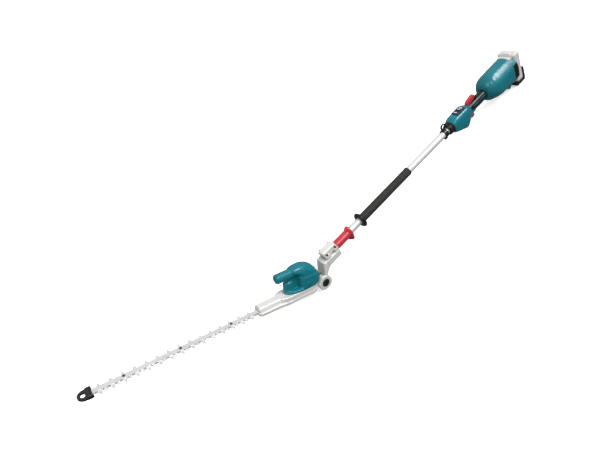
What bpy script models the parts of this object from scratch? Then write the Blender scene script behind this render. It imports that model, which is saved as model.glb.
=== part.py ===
"""An articulated cordless pole hedge trimmer, as separate named sub-parts.

Sizes are in millimetres and the helpers turn them into metres. Two empties hold everything:
"pole" sits on the pole's axis above the pivot, with +X rearward along the pole and +Z up;
"head" sits on the pivot bolt, tipped by HEAD_TILT, with +X rearward along the blades.
The world's origin is the middle of the battery guard's flat foot, on the ground plane.
"""

from math import asin, cos, degrees, pi, radians, sin

import bmesh
import bpy
from mathutils import Matrix, Vector

MM = 0.001
GAP = 0.3                      # between faces that touch on the real tool

# ---- the frame ----
POLE_HEIGHT = 94.0             # pole axis above the ground
PIVOT_DROP = 68.0              # pivot bolt below the pole axis
GUARD_FOOT_X = 1175.0          # middle of the guard's foot, behind the pivot
HEAD_TILT = 26.0               # degrees, tip up

# ---- head ----
TOOTH_PITCH = 34.0
TOOTH_COUNT = 15
FIRST_TOOTH_X = -769.0
BLADE_SPAN = 49.4              # tip to tip across both rows of teeth
BLADE_BACK = 9.0               # half width of the blade between its teeth
BLADE_THICK = 2.0
BLADE_STROKE = 17.0
UPPER_BLADE_Z = -5.0           # middle of the upper blade
LOWER_BLADE_Z = -7.3
BAR_THICK = 3.0
BAR_Z = -2.2                   # middle of the guide bar
BAR_FRONT_X = -800.0
BAR_REAR_X = -205.0
TIP_GUARD_X = (-826.0, -785.0)
TIP_GUARD_HALF = 21.0
TIP_GUARD_Z = (-8.7, 5.0)
TIP_HOLE_X = -809.5
CASE_FRONT_X = -266.0
CASE_REAR_X = -29.0
CASE_LOW_Z = -8.5
CASE_TOP_Z = 16.0
COVER_THICK = 3.6
RIDGE_HALF = 16.0
MOTOR_X = -64.0
CRANK_X = -90.4
GEAR_MODULE = 1.1
PINION_TEETH = 8
CRANK_TEETH = 40
CRANK_THROW = BLADE_STROKE / 2
ECCENTRIC_RADIUS = 9.0
BLADE_BOLT_X = (-700.0, -530.0, -360.0)
WINDOW_LENGTH = 2 * (ECCENTRIC_RADIUS + CRANK_THROW) + BLADE_STROKE + 2.0   # of the yoke in each blade
WINDOW_WIDTH = 2 * (ECCENTRIC_RADIUS + CRANK_THROW) + 1.0
TAIL_HALF = WINDOW_WIDTH / 2 + 4.0
SHELL = 3.0                    # wall of the moulded housings
BULK_X = (-140.0, -20.0)
SHOULDER_X = -104.0            # where the bulk reaches its full width
BULK_HALF = 33.0
BULK_TOP_Z = 104.5
NECK_HALF = 10.0               # half width of the motor housing where it is narrowest
BASE_FRONT_X = -157.0
BASE_HALF = 30.0
COLUMN_HALF = 15.5
SNOUT_Z = 83.0
SNOUT_FRONT_X = -186.0
BOOT_Z = 29.0

# ---- pivot and pole ----
KNUCKLE_RADIUS = 27.0
CHEEK_Y = (12.0, 25.0)         # inner and outer face of each clevis cheek
TONGUE_RADIUS = 24.0
TONGUE_HALF = 11.6
PIVOT_BORE = 12.6
PIN_X = 6.0                    # of the locking pin behind the pivot, along the head
PIN_Y = 8.6
PIN_RADIUS = 2.4
PIN_TOP = 60.0
PIN_ROOM = 3.2                 # half width of the channel it slides in
PIPE_OUTER = 13.0              # radius
PIPE_INNER = 11.5
PIPE_X = (50.0, 790.0)
CLAMP_X = (45.0, 108.0)
CLAMP_TOP = 27.0
SLEEVE_X = (110.0, 185.0)
SLEEVE_RADIUS = 16.0
HAND_GUARD_X = (236.0, 248.0)
HAND_GUARD_RADIUS = 29.0
GRIP_X = (248.3, 508.0)
GRIP_RADIUS = 16.4
HANGER_X = 722.0
COLLAR_X = (738.0, 768.0)
CONTROL_X = (760.0, 893.0)
CONTROL_HALF = 27.0
CONTROL_Z = (-52.0, 31.0)
TAB_X = 867.0                  # where the housing drops to the tabs beside the trigger
TAB_Z = -6.5
PANEL_X = (796.0, 842.0)
PANEL_HALF = 15.0
BUTTON_X = (803.0, 824.0)
LEVER_HINGE_X = 867.5
TRIGGER_HINGE_X = 868.0
HANDLE_X = (867.3, 971.0)
HANDLE_RADIUS = 19.0
REAR_X = (966.0, 1131.0)
REAR_HALF = 49.0
BATTERY_X = (1131.6, 1166.0)
BATTERY_HALF = 37.0
BATTERY_Z = (-62.0, 60.0)
RAIL_X = 1114.0
RAIL_HALF = 27.0
GUARD_HALF = 20.0

COLOURS = {                    # colour, roughness, metallic
    "teal_plastic": ((0.02, 0.21, 0.26), 0.35, 0.0),
    "red_plastic": ((0.58, 0.04, 0.06), 0.4, 0.0),
    "black_plastic": ((0.02, 0.02, 0.02), 0.5, 0.0),
    "rubber": ((0.035, 0.035, 0.032), 0.8, 0.0),
    "cast_aluminium": ((0.72, 0.72, 0.70), 0.45, 0.9),
    "pipe_aluminium": ((0.80, 0.80, 0.79), 0.3, 1.0),
    "blade_steel": ((0.70, 0.70, 0.70), 0.28, 1.0),
    "dark_steel": ((0.10, 0.10, 0.10), 0.4, 0.9),
    "copper": ((0.65, 0.28, 0.12), 0.35, 1.0),
    "pale_plastic": ((0.78, 0.78, 0.78), 0.35, 0.0),
}


# ---- scene and helpers ----

def clear_scene():
    for obj in list(bpy.data.objects):
        bpy.data.objects.remove(obj, do_unlink=True)


def new_collection(name):
    collection = bpy.data.collections.new(name)
    bpy.context.scene.collection.children.link(collection)
    return collection


def material(name):
    """The named material, made on first use."""
    found = bpy.data.materials.get(name)
    if found:
        return found
    colour, roughness, metallic = COLOURS[name]
    made = bpy.data.materials.new(name)
    made.use_nodes = True
    shader = made.node_tree.nodes["Principled BSDF"]
    shader.inputs["Base Color"].default_value = (*colour, 1.0)
    shader.inputs["Roughness"].default_value = roughness
    shader.inputs["Metallic"].default_value = metallic
    made.diffuse_color = (*colour, 1.0)
    return made


def metres(values):
    return Vector(values) * MM


def empty(name, location, rotation=(0.0, 0.0, 0.0)):
    made = bpy.data.objects.new(name, None)
    made.location = metres(location)
    made.rotation_euler = rotation
    made.empty_display_size = 0.03
    PARTS.objects.link(made)
    return made


def add(name, data, parent, at, finish):
    """Puts data in the scene: with a finish it is a sub-part, without one it is a cutter."""
    obj = bpy.data.objects.new(name, data)
    obj.parent = parent
    obj.location = metres(at)
    if finish:
        data.materials.append(material(finish))
        PARTS.objects.link(obj)
    else:
        CUTTERS.objects.link(obj)
        obj.hide_render = True
        obj.display_type = "WIRE"
    return obj


def from_bmesh(name, shape, parent, at, finish):
    bmesh.ops.recalc_face_normals(shape, faces=shape.faces)
    data = bpy.data.meshes.new(name)
    shape.to_mesh(data)
    shape.free()
    return add(name, data, parent, at, finish)


def bevel(obj, width, segments=2, angle=30.0):
    made = obj.modifiers.new("bevel", "BEVEL")
    made.width = width * MM
    made.segments = segments
    made.limit_method = "ANGLE"
    made.angle_limit = radians(angle)
    return obj


def box(name, low, high, parent, finish=None, rounding=0.0, segments=2, origin=(0, 0, 0)):
    """A box between two corners, with its edges rounded."""
    size = Vector(high) - Vector(low)
    middle = (Vector(high) + Vector(low)) / 2 - Vector(origin)
    shape = bmesh.new()
    place = Matrix.Translation(middle * MM) @ Matrix.Diagonal((*(size * MM), 1.0))
    bmesh.ops.create_cube(shape, size=1.0, matrix=place)
    obj = from_bmesh(name, shape, parent, origin, finish)
    if rounding:
        bevel(obj, rounding, segments)
    return obj


TURN_TO = {"Z": Matrix(), "X": Matrix.Rotation(pi / 2, 4, "Y"), "Y": Matrix.Rotation(-pi / 2, 4, "X")}


def cylinder(name, radius, start, end, axis, parent, finish=None, sides=32, at=(0, 0, 0), top=None):
    """A cylinder along an axis from start to end, measured from at. top is another end radius."""
    shape = bmesh.new()
    bmesh.ops.create_cone(
        shape, cap_ends=True, segments=sides, radius1=radius * MM,
        radius2=(radius if top is None else top) * MM, depth=(end - start) * MM)
    bmesh.ops.transform(shape, matrix=TURN_TO[axis], verts=shape.verts)
    middle = (start + end) / 2
    shift = {"X": (middle, 0, 0), "Y": (0, middle, 0), "Z": (0, 0, middle)}[axis]
    bmesh.ops.translate(shape, vec=metres(shift), verts=shape.verts)
    return from_bmesh(name, shape, parent, at, finish)


def turned(name, profile, parent, finish=None, at=(0, 0, 0), steps=32, axis="X"):
    """A closed profile of (radius, distance along the axis), turned about the axis."""
    pairs = list(zip(profile, profile[1:] + profile[:1]))
    if sum(first[0] * second[1] - second[0] * first[1] for first, second in pairs) > 0:
        pairs = [(second, first) for first, second in reversed(pairs)]
    shape = bmesh.new()
    corners = {}
    for radius, along in profile:
        place = (along, 0.0, radius) if axis == "X" else (radius, 0.0, along)
        corners[radius, along] = shape.verts.new(metres(place))
    for first, second in pairs:
        if first[0] or second[0]:
            shape.edges.new((corners[first], corners[second]))
    data = bpy.data.meshes.new(name)
    shape.to_mesh(data)
    shape.free()
    obj = add(name, data, parent, at, finish)
    screw = obj.modifiers.new("turn", "SCREW")
    screw.axis = axis
    screw.steps = steps
    screw.render_steps = steps
    screw.use_merge_vertices = True
    screw.merge_threshold = 1e-5
    return obj


def outline_mesh(name, loops, thickness, plane, parent, finish=None, at=(0, 0, 0)):
    """A plate: the first loop is its outline and the others are its holes, given in one plane."""
    curve = bpy.data.curves.new(name, "CURVE")
    curve.dimensions = "2D"
    curve.fill_mode = "BOTH"
    curve.extrude = thickness * MM / 2
    for points in loops:
        spline = curve.splines.new("POLY")
        spline.points.add(len(points) - 1)
        for point, (across, along) in zip(spline.points, points):
            point.co = (across * MM, along * MM, 0.0, 1.0)
        spline.use_cyclic_u = True
    helper = bpy.data.objects.new(name + "_curve", curve)
    bpy.context.scene.collection.objects.link(helper)
    graph = bpy.context.evaluated_depsgraph_get()
    data = bpy.data.meshes.new_from_object(helper.evaluated_get(graph))
    bpy.data.objects.remove(helper)
    shape = bmesh.new()
    shape.from_mesh(data)
    bmesh.ops.remove_doubles(shape, verts=shape.verts, dist=1e-6)
    if len(loops) == 1:
        bmesh.ops.dissolve_limit(shape, angle_limit=radians(0.5), verts=shape.verts, edges=shape.edges)
    if plane == "XZ":
        bmesh.ops.transform(shape, matrix=Matrix.Rotation(pi / 2, 4, "X"), verts=shape.verts)
    if plane == "YZ":
        turn = Matrix.Rotation(pi / 2, 4, "Z") @ Matrix.Rotation(pi / 2, 4, "X")
        bmesh.ops.transform(shape, matrix=turn, verts=shape.verts)
    bpy.data.meshes.remove(data)
    return from_bmesh(name, shape, parent, at, finish)


def boolean(obj, cutters, operation="DIFFERENCE"):
    for cutter in cutters:
        made = obj.modifiers.new(operation.lower(), "BOOLEAN")
        made.operation = operation
        made.solver = "EXACT"
        made.object = cutter
    return obj


def join(obj, *cutters):
    return boolean(obj, cutters, "UNION")


def cut(obj, *cutters):
    return boolean(obj, cutters, "DIFFERENCE")


def arc(centre, radius, start, end, steps):
    """Points on an arc, in degrees, both ends included."""
    turns = [radians(start + (end - start) * step / steps) for step in range(steps + 1)]
    return [(centre[0] + radius * cos(turn), centre[1] + radius * sin(turn)) for turn in turns]


def slot(centre_x, length, width, steps=6, centre_y=0.0):
    """A round-ended slot along X."""
    reach = (length - width) / 2
    return (arc((centre_x + reach, centre_y), width / 2, -90, 90, steps)
            + arc((centre_x - reach, centre_y), width / 2, 90, 270, steps))


def mirrored_section(half):
    """A section across Y from its half at positive Y, given bottom to top."""
    return half + [(-y, z) for y, z in reversed(half)]


def mirrored(half):
    """An outline from its half at positive Y, given front to rear."""
    return half + [(x, -y) for x, y in reversed(half)]


def egg(front, rear, half, steps=10, power=2.3):
    """A blunt oval from its front to its widest place, mirrored across Y and closed straight behind."""
    points = []
    for step in range(steps + 1):
        turn = pi / 2 * step / steps
        points.append((rear - (rear - front) * cos(turn) ** (2 / power), half * sin(turn) ** (2 / power)))
    return points + [(x, -y) for x, y in reversed(points[1:])]


# ---- blades ----

def tooth_row(stations, front, rear, tip_front, tip_rear, reach):
    """Points along one side of a blade, front to rear."""
    points = []
    for x in stations:
        points += [(x + front, BLADE_BACK), (x + tip_front, reach), (x + tip_rear, reach),
            (x + rear, BLADE_BACK)]
    return points


def blade(name, middle_z, teeth, travel):
    """One blade. travel is +1 if it moves rearward from rest and -1 if it moves forward."""
    window_x = CRANK_X - travel * BLADE_STROKE / 2
    tail_front = window_x - WINDOW_LENGTH / 2 - 5
    tail_rear = window_x + WINDOW_LENGTH / 2 + 4
    half = [(-784.0, 4.0), (-781.0, BLADE_BACK)] + teeth
    half += [(tail_front - 10, BLADE_BACK), (tail_front, TAIL_HALF), (tail_rear, TAIL_HALF)]
    window = slot(window_x, WINDOW_LENGTH, WINDOW_WIDTH, 8)
    bolt_slots = [slot(x - travel * BLADE_STROKE / 2, BLADE_STROKE + 6.0, 5.6, 4) for x in BLADE_BOLT_X]
    return outline_mesh(name, [mirrored(half), window] + bolt_slots, BLADE_THICK, "XY", HEAD,
                        "blade_steel", (0, 0, middle_z))


def upper_blade():
    stations = [FIRST_TOOTH_X + TOOTH_PITCH * i for i in range(TOOTH_COUNT)]
    teeth = tooth_row(stations, -5.0, 8.5, 0.0, 3.4, BLADE_SPAN / 2)
    return blade("upper_blade", UPPER_BLADE_Z, teeth, 1)


def lower_blade():
    stations = [FIRST_TOOTH_X + TOOTH_PITCH * (i + 0.5) for i in range(TOOTH_COUNT - 1)]
    teeth = tooth_row(stations, -6.0, 6.0, -3.5, 3.5, BLADE_BACK + 5.0)
    return blade("lower_blade", LOWER_BLADE_Z, teeth, -1)


def guide_bar():
    half = [(BAR_FRONT_X, 4.0), (BAR_FRONT_X + 4.0, BLADE_BACK), (BAR_REAR_X, BLADE_BACK)]
    holes = [slot(x, 5.2, 5.2, 4) for x in BLADE_BOLT_X]
    return outline_mesh("guide_bar", [mirrored(half)] + holes, BAR_THICK, "XY", HEAD, "blade_steel",
        (0, 0, BAR_Z))


def blade_bolt(index, x):
    """A shouldered bolt that holds both blades under the bar, with its nut drawn as one piece."""
    bottom = LOWER_BLADE_Z - BLADE_THICK / 2 - GAP
    top = BAR_Z + BAR_THICK / 2 + GAP
    profile = [(0, bottom - 2.0), (4.2, bottom - 2.0), (4.2, bottom), (2.3, bottom),
               (2.3, top), (4.4, top), (4.4, top + 1.4), (3.2, top + 2.2), (0, top + 2.2)]
    return turned(f"blade_bolt_{index}", profile, HEAD, "dark_steel", (x, 0, 0), 16, "Z")


def tip_guard():
    """The rounded nose that takes the bar's end, with a hole to hang the tool by."""
    front, rear = TIP_GUARD_X
    low, high = TIP_GUARD_Z
    curve = arc((0, 0), 1.0, 180, 90, 8)
    half = [(front + 22.0 * (1 + x), TIP_GUARD_HALF * y) for x, y in curve]
    half += [(rear - 6, TIP_GUARD_HALF), (rear + 1, TIP_GUARD_HALF - 1), (rear - 3, TIP_GUARD_HALF - 7)]
    hole = [(TIP_HOLE_X - y, x) for x, y in slot(0.0, 15.0, 11.0)]
    guard = outline_mesh("tip_guard", [mirrored(half), hole], high - low, "XY", HEAD, "black_plastic",
                         (0, 0, (low + high) / 2))
    bar_seat = box("bar_seat", (BAR_FRONT_X - GAP, -BLADE_BACK - GAP, BAR_Z - BAR_THICK / 2 - 1.0),
                   (rear + 10, BLADE_BACK + GAP, BAR_Z + BAR_THICK / 2 + GAP), HEAD)
    blade_room = box("blade_room", (-784 - BLADE_STROKE - 1, -BLADE_BACK - 0.8, LOWER_BLADE_Z - 5),
                     (rear + 10, BLADE_BACK + 0.8, BAR_Z), HEAD)
    return cut(guard, bar_seat, blade_room)


# ---- gear case ----

def case_half(inset):
    """Half the flange's outline, drawn in by inset."""
    front = CASE_FRONT_X + inset
    rear = CASE_REAR_X - inset
    return [(front, 0.0), (front, 17.0 - inset), (-258.0 + inset, 24.0 - inset), (-200.0, 26.0 - inset),
            (-150.0, 31.0 - inset), (-60.0, 31.5 - inset), (-44.0, 27.0 - inset), (rear, 15.0 - inset),
                (rear, 0.0)]


def gear_case():
    """The casting, open underneath, with the tongue that the head turns on."""
    flange = outline_mesh("gear_case", [mirrored(case_half(0.0)[1:-1])], 7.0, "XY", HEAD,
                          "cast_aluminium", (0, 0, CASE_LOW_Z + 3.5))
    tub_half = [(-182.0, 22.0), (-164.0, 28.0), (-140.0, 29.5), (-62.0, 30.0), (-46.0, 25.0),
        (CASE_REAR_X - 2.0, 13.0)]
    tub = outline_mesh("tub", [mirrored(tub_half)], CASE_TOP_Z - CASE_LOW_Z - 3, "XY", HEAD,
                       None, (0, 0, (CASE_TOP_Z + CASE_LOW_Z + 3) / 2))
    bevel(tub, 2.0, 2)
    ridge_top = CASE_TOP_Z - 0.6
    ridge_section = mirrored_section([(22.0, CASE_LOW_Z + 4), (RIDGE_HALF, ridge_top - 3),
        (RIDGE_HALF - 3, ridge_top)])
    ridge = outline_mesh("ridge", [ridge_section], 113.0, "YZ", HEAD, None, (-205.5, 0, 0))
    tongue = cylinder("tongue", TONGUE_RADIUS, -TONGUE_HALF, TONGUE_HALF, "Y", HEAD, sides=32)
    web_side = [(-42, CASE_LOW_Z + 1), (-28, CASE_LOW_Z + 1), (-18, -15.5), (0, -20), (0, 20), (-12, 19),
        (-42, 12)]
    web = outline_mesh("web", [web_side], 2 * TONGUE_HALF, "XZ", HEAD)
    join(flange, tub, ridge, tongue, web)
    inner_half = [(-168.0, 12.0), (-156.0, TAIL_HALF + 1.5), (-52.0, TAIL_HALF + 1.5), (-44.0, 17.0),
        (-40.0, 0.0)]
    cavity = outline_mesh("case_cavity", [mirrored(inner_half[:-1])], 22.0, "XY", HEAD, None, (0, 0, 0.0))
    nose_room = box("nose_room", (CASE_FRONT_X - 10, -BLADE_BACK - 1.2, -25),
        (-150, BLADE_BACK + 1.2, -0.3), HEAD)
    motor_hole = cylinder("motor_hole", 11.4, 0, 30, "Z", HEAD, at=(MOTOR_X, 0, 0))
    bore = cylinder("tongue_bore", PIVOT_BORE / 2, -30, 30, "Y", HEAD)
    plate_room = cylinder("plate_room", TONGUE_RADIUS + 4, 5.5, 20, "Y", HEAD, sides=32)
    return cut(flange, cavity, nose_room, motor_hole, bore, plate_room)


def gear_case_cover():
    half = case_half(0.4)[1:-1]
    middle = CASE_LOW_Z - GAP - COVER_THICK / 2
    holes = [slot(x, 4.4, 4.4, 4, y) for x, y in cover_screw_places()]
    return outline_mesh("gear_case_cover", [mirrored(half)] + holes, COVER_THICK, "XY", HEAD,
                        "cast_aluminium", (0, 0, middle))


def cover_screw_places():
    return [(x, side * y) for x, y in ((-246.0, 17.5), (-184.0, 21.5), (-44.0, 20.5)) for side in (-1, 1)]


def cover_screw(index, x, y):
    """A pan-head screw that comes up through the cover, short of the casting."""
    under = CASE_LOW_Z - GAP - COVER_THICK - GAP
    profile = [(0, under - 2.2), (3.4, under - 2.2), (3.8, under - 1.4), (3.8, under), (1.9, under),
               (1.9, CASE_LOW_Z - GAP), (0, CASE_LOW_Z - GAP)]
    return turned(f"cover_screw_{index}", profile, HEAD, "dark_steel", (x, y, 0), 12, "Z")


def index_plate():
    """The notched plate on the tongue that the locking pin drops into at each head angle."""
    steps = [-19.0 + 19.2 * i for i in range(7)]
    half_notch = 7.0
    points = []
    lean = degrees(asin(PIN_X / TONGUE_RADIUS))
    steps = [turn + lean for turn in steps]
    for i, turn in enumerate(steps):
        middle = 90.0 - turn
        points += arc((0, 0), TONGUE_RADIUS - 4.5, middle + half_notch, middle - half_notch, 2)
        if i < len(steps) - 1:
            follow = 90.0 - steps[i + 1]
            points += arc((0, 0), TONGUE_RADIUS, middle - half_notch, follow + half_notch, 2)
    last = 90.0 - steps[-1] - half_notch
    points += arc((0, 0), TONGUE_RADIUS, last, 90.0 - steps[0] + half_notch - 360.0, 16)
    hole = [(6.5 * cos(2 * pi * i / 20), 6.5 * sin(2 * pi * i / 20)) for i in range(20)]
    return outline_mesh("index_plate", [points, hole], 5.2, "XZ", HEAD, "dark_steel", (0, PIN_Y, 0))


# ---- drive ----

def gear_loop(teeth, phase):
    """A spur gear's outline with straight-sided teeth, thinned for backlash."""
    pitch = GEAR_MODULE * teeth / 2
    step = 360.0 / teeth
    points = []
    for i in range(teeth):
        at = phase + i * step
        for part, radius in ((-0.29, pitch - 1.0 * GEAR_MODULE), (-0.13, pitch + 0.7 * GEAR_MODULE),
                             (0.13, pitch + 0.7 * GEAR_MODULE), (0.29, pitch - 1.0 * GEAR_MODULE)):
            turn = radians(at + part * step)
            points.append((radius * cos(turn), radius * sin(turn)))
    return points


def crank_gear():
    hole = [(5.2 * cos(2 * pi * i / 24), 5.2 * sin(2 * pi * i / 24)) for i in range(24)]
    return outline_mesh("crank_gear", [gear_loop(CRANK_TEETH, 0.0), hole], 4.0, "XY", HEAD,
                        "dark_steel", (CRANK_X, 0, 1.5))


def crank_shaft():
    """The shaft with its two eccentrics, half a turn apart."""
    at = (CRANK_X, 0, 0)
    shaft = cylinder("crank_shaft", 4.9, -4.2, 10.7, "Z", HEAD, "dark_steel", 24, at)
    upper = cylinder("upper_eccentric", ECCENTRIC_RADIUS, -6.15, -2.4, "Z", HEAD, None, 28,
                     (CRANK_X - CRANK_THROW, 0, 0))
    lower = cylinder("lower_eccentric", ECCENTRIC_RADIUS, -8.3, -5.9, "Z", HEAD, None, 28,
                     (CRANK_X + CRANK_THROW, 0, 0))
    web = box("crank_web", (CRANK_X - 9, -4, -6.1), (CRANK_X + 9, 4, -5.2), HEAD)
    return join(shaft, upper, lower, web)


def ring_profile(inner, outer, start, end):
    return [(inner, start), (outer, start), (outer, end), (inner, end)]


def crank_bearing():
    return turned("crank_bearing", ring_profile(5.2, 10.5, 5.0, 10.7), HEAD, "dark_steel", (CRANK_X, 0, 0),
        28, "Z")


def motor_rotor():
    """The rotor, with its pinion cut on the lower end of the shaft. Its origin is on its axis."""
    at = (MOTOR_X, 0, 0)
    pinion = outline_mesh("motor_rotor", [gear_loop(PINION_TEETH, 180.0 + 22.5)], 7.0, "XY", HEAD,
        "dark_steel", at)
    shaft = cylinder("rotor_shaft", 3.0, 2.0, 82.0, "Z", HEAD, None, 20, at)
    core = cylinder("rotor_core", 11.5, 26.0, 70.0, "Z", HEAD, None, 28, at)
    return join(pinion, shaft, core)


def motor_stator():
    return turned("motor_stator", ring_profile(12.2, 27.0, 28.0, 68.0), HEAD, "copper", (MOTOR_X, 0, 0), 32,
        "Z")


# ---- motor housing ----

def motor_housing_bulk(name):
    """The housing's solid rear part: where its side, plan and front outlines meet."""
    low = CASE_TOP_Z + GAP
    front, rear = BULK_X
    side = [(front, low - 2), (rear - 5, low - 2), (rear - 4, 19), (rear + 5.5, 29), (rear + 4.5, 38),
            (rear + 2.5, 45), (rear - 4, 57), (rear - 12.5, 72), (rear - 23, 85), (rear - 36, 95),
            (rear - 50, 101.5), (rear - 68, BULK_TOP_Z + 1), (rear - 92, BULK_TOP_Z),
                (front, BULK_TOP_Z - 7)]
    across = [(BULK_HALF - 7, low), (BULK_HALF, low + 9)]
    across += arc((BULK_HALF - 31, BULK_TOP_Z - 31), 31.0, 0, 90, 6)
    plan = [(front, NECK_HALF - 0.6), (SHOULDER_X - 4, NECK_HALF + 0.6),
        (SHOULDER_X - 0.5, BULK_HALF - 3.5),
            (SHOULDER_X + 3, BULK_HALF - 0.8), (SHOULDER_X + 9, BULK_HALF)]
    plan += [(-52.0 + 38.0 * sin(radians(t)), BULK_HALF * cos(radians(t))) for t in (0, 15, 30, 45, 60, 75)]
    bulk = outline_mesh(name, [side], 2 * BULK_HALF + 10, "XZ", HEAD, "teal_plastic")
    section = outline_mesh(name + "_section", [mirrored_section(across)], 140.0, "YZ", HEAD, None,
        (-60, 0, 0))
    outline = outline_mesh(name + "_plan", [mirrored(plan)], 140.0, "XY", HEAD, None, (0, 0, 60))
    return boolean(bulk, (section, outline), "INTERSECT")


def motor_housing_front(name):
    """The housing's front: a lip on the gear case, a round column, the neck, a brow and the snout."""
    low = CASE_TOP_Z + GAP
    lip = outline_mesh(name + "_lip", [egg(BASE_FRONT_X, -90.0, BASE_HALF)], 8.5, "XY", HEAD, None,
                       (0, 0, low + 4.25))
    bevel(lip, 2.5, 2)
    column = outline_mesh(name + "_column", [egg(BASE_FRONT_X, -118.0, COLUMN_HALF, 6, 2.8)], 39.0, "XY",
        HEAD,
                          None, (0, 0, low + 19.2))
    bevel(column, 5.0, 3)
    neck = box(name + "_neck", (-148, -NECK_HALF, low + 5), (-95, NECK_HALF, 92), HEAD, None, 3.0, 2)
    brow = box(name + "_brow", (-128, -25.5, 79), (-92, 25.5, 99.5), HEAD, None, 9.0, 3)
    snout = cylinder(name + "_snout", 17.0, SNOUT_FRONT_X, -95, "X", HEAD, None, 28, (0, 0, SNOUT_Z))
    bevel(snout, 8.0, 3, 60)
    return lip, column, neck, brow, snout


def motor_housing_cutters(name, side):
    """What is taken out of the housing: its rooms, its vents, the lead's hole and the other half."""
    low = CASE_TOP_Z + GAP
    room = box(name + "_room", (SHOULDER_X + SHELL, -BULK_HALF + SHELL, low - 10),
               (BULK_X[1] - 13, BULK_HALF - SHELL, BULK_TOP_Z - 17), HEAD, None, 9.0, 2)
    front_room = box(name + "_front_room", (BASE_FRONT_X + 5, -NECK_HALF + SHELL, low - 10),
                     (-95, NECK_HALF - SHELL, 49), HEAD)
    snout_room = cylinder(name + "_snout_room", 13.5, SNOUT_FRONT_X + 5, -95, "X", HEAD, None, 20,
                          (0, 0, SNOUT_Z))
    boot_hole = cylinder(name + "_boot_hole", 7.8, -45, 0, "X", HEAD, None, 20, (0, 0, BOOT_Z))
    other_side = box(name + "_other_side", (-220, -60 if side > 0 else -GAP / 2, 0),
                     (0, GAP / 2 if side > 0 else 60, 130), HEAD)
    vents = [box(f"{name}_vent_{i}", (-92 + 3 * i, 20 if side > 0 else -50, 21 + 5 * i),
                 (-68 + 3 * i, 50 if side > 0 else -20, 23.7 + 5 * i), HEAD) for i in range(3)]
    return room, front_room, snout_room, boot_hole, other_side, *vents


def motor_housing(name, side):
    """One half of the cover, hollow and open at the joint face and underneath."""
    bulk = motor_housing_bulk(name)
    join(bulk, *motor_housing_front(name))
    return cut(bulk, *motor_housing_cutters(name, side))


def cable_boot():
    """The strain relief where the motor's lead leaves the housing for the neck."""
    profile = [(0, -24.0), (7.5, -24.0), (7.5, -15.0), (5.0, -14.0), (4.0, -12.0), (0, -12.0)]
    return turned("cable_boot", profile, HEAD, "rubber", (0, 0, BOOT_Z), 20)


# ---- pivot ----

def pivot_arm():
    """The casting that joins the pivot to the pole: two cheeks, the neck and the clamp's lower half."""
    axis_z = -PIVOT_DROP
    slope = radians(90 - HEAD_TILT)
    front = [(t * cos(slope), axis_z + t * sin(slope)) for t in (27.0, 75.0)]
    neck_profile = [(-8.0, axis_z + 20), front[0], front[1], (60.0, -1.0), (66.0, -16.0),
                    (30.0, -42.0), (20.0, axis_z + 14)]
    arm = outline_mesh("pivot_arm", [neck_profile], 46.0, "XZ", POLE, "cast_aluminium")
    bevel(arm, 3.0, 2)
    barrel = cylinder("barrel", KNUCKLE_RADIUS, -CHEEK_Y[1], CHEEK_Y[1], "Y", POLE, None, 36,
        (0, 0, axis_z))
    bevel(barrel, 2.0, 2)
    block = box("clamp_block", (CLAMP_X[0], -25, -27), (CLAMP_X[1], 25, -GAP / 2), POLE, None, 4.0, 2)
    join(arm, barrel, block)
    mouth_radius = KNUCKLE_RADIUS + 0.5
    slot_disc = cylinder("clevis_slot", mouth_radius, -CHEEK_Y[0], CHEEK_Y[0], "Y", POLE, None, 36,
        (0, 0, axis_z))
    slot_front = box("clevis_front", (-60, -CHEEK_Y[0], axis_z - 40), (0, CHEEK_Y[0], axis_z + 26), POLE)
    bore = cylinder("arm_bore", PIVOT_BORE / 2, -40, 40, "Y", POLE, None, 24, (0, 0, axis_z))
    head_seat = cylinder("bolt_seat", 15.0, -40, -CHEEK_Y[1] + 4, "Y", POLE, None, 32, (0, 0, axis_z))
    nut_seat = cylinder("nut_seat", 13.0, CHEEK_Y[1] - 4, 40, "Y", POLE, None, 32, (0, 0, axis_z))
    pipe_hole = cylinder("arm_pipe_hole", PIPE_OUTER + GAP, CLAMP_X[0] + 4, 140, "X", POLE, None, 40)
    ground = box("under_knuckle", (-40, -40, -POLE_HEIGHT - 20), (40, 40, -POLE_HEIGHT), POLE)
    rod_hole = outline_mesh("rod_hole", [rod_room()], 7.0, "XZ", POLE, None, (0, PIN_Y, 0))
    bolt_holes = [cylinder(f"arm_bolt_hole_{i}", 2.6, -40, 20, "Z", POLE, None, 12, (x, y, 0))
                  for i, (x, y) in enumerate(clamp_bolt_places())]
    return cut(arm, slot_disc, slot_front, bore, head_seat, nut_seat, pipe_hole, ground, rod_hole,
        *bolt_holes)


def rod_room():
    """The pin's channel: a strip up the inside of the neck, clear of the pin over its travel."""
    axis_z = -PIVOT_DROP
    up = Vector((sin(radians(HEAD_TILT)), cos(radians(HEAD_TILT))))
    side = Vector((up[1], -up[0]))
    base = Vector((0.0, axis_z))
    corners = [base + up * a + side * (PIN_X + b) for a, b in
               ((20, -PIN_ROOM), (PIN_TOP + 9, -PIN_ROOM), (PIN_TOP + 9, PIN_ROOM), (20, PIN_ROOM))]
    return [tuple(corner) for corner in corners]


def locking_pin():
    """The pin in the neck, drawn just clear of the plate so that the head can turn."""
    return cylinder("locking_pin", PIN_RADIUS, TONGUE_RADIUS + GAP, PIN_TOP, "Z", HEAD, "dark_steel", 16,
                    (PIN_X, PIN_Y, 0))


def clamp_bolt_places():
    return [(x, side * 20.4) for x in (59.0, 99.0) for side in (-1, 1)]


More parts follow.
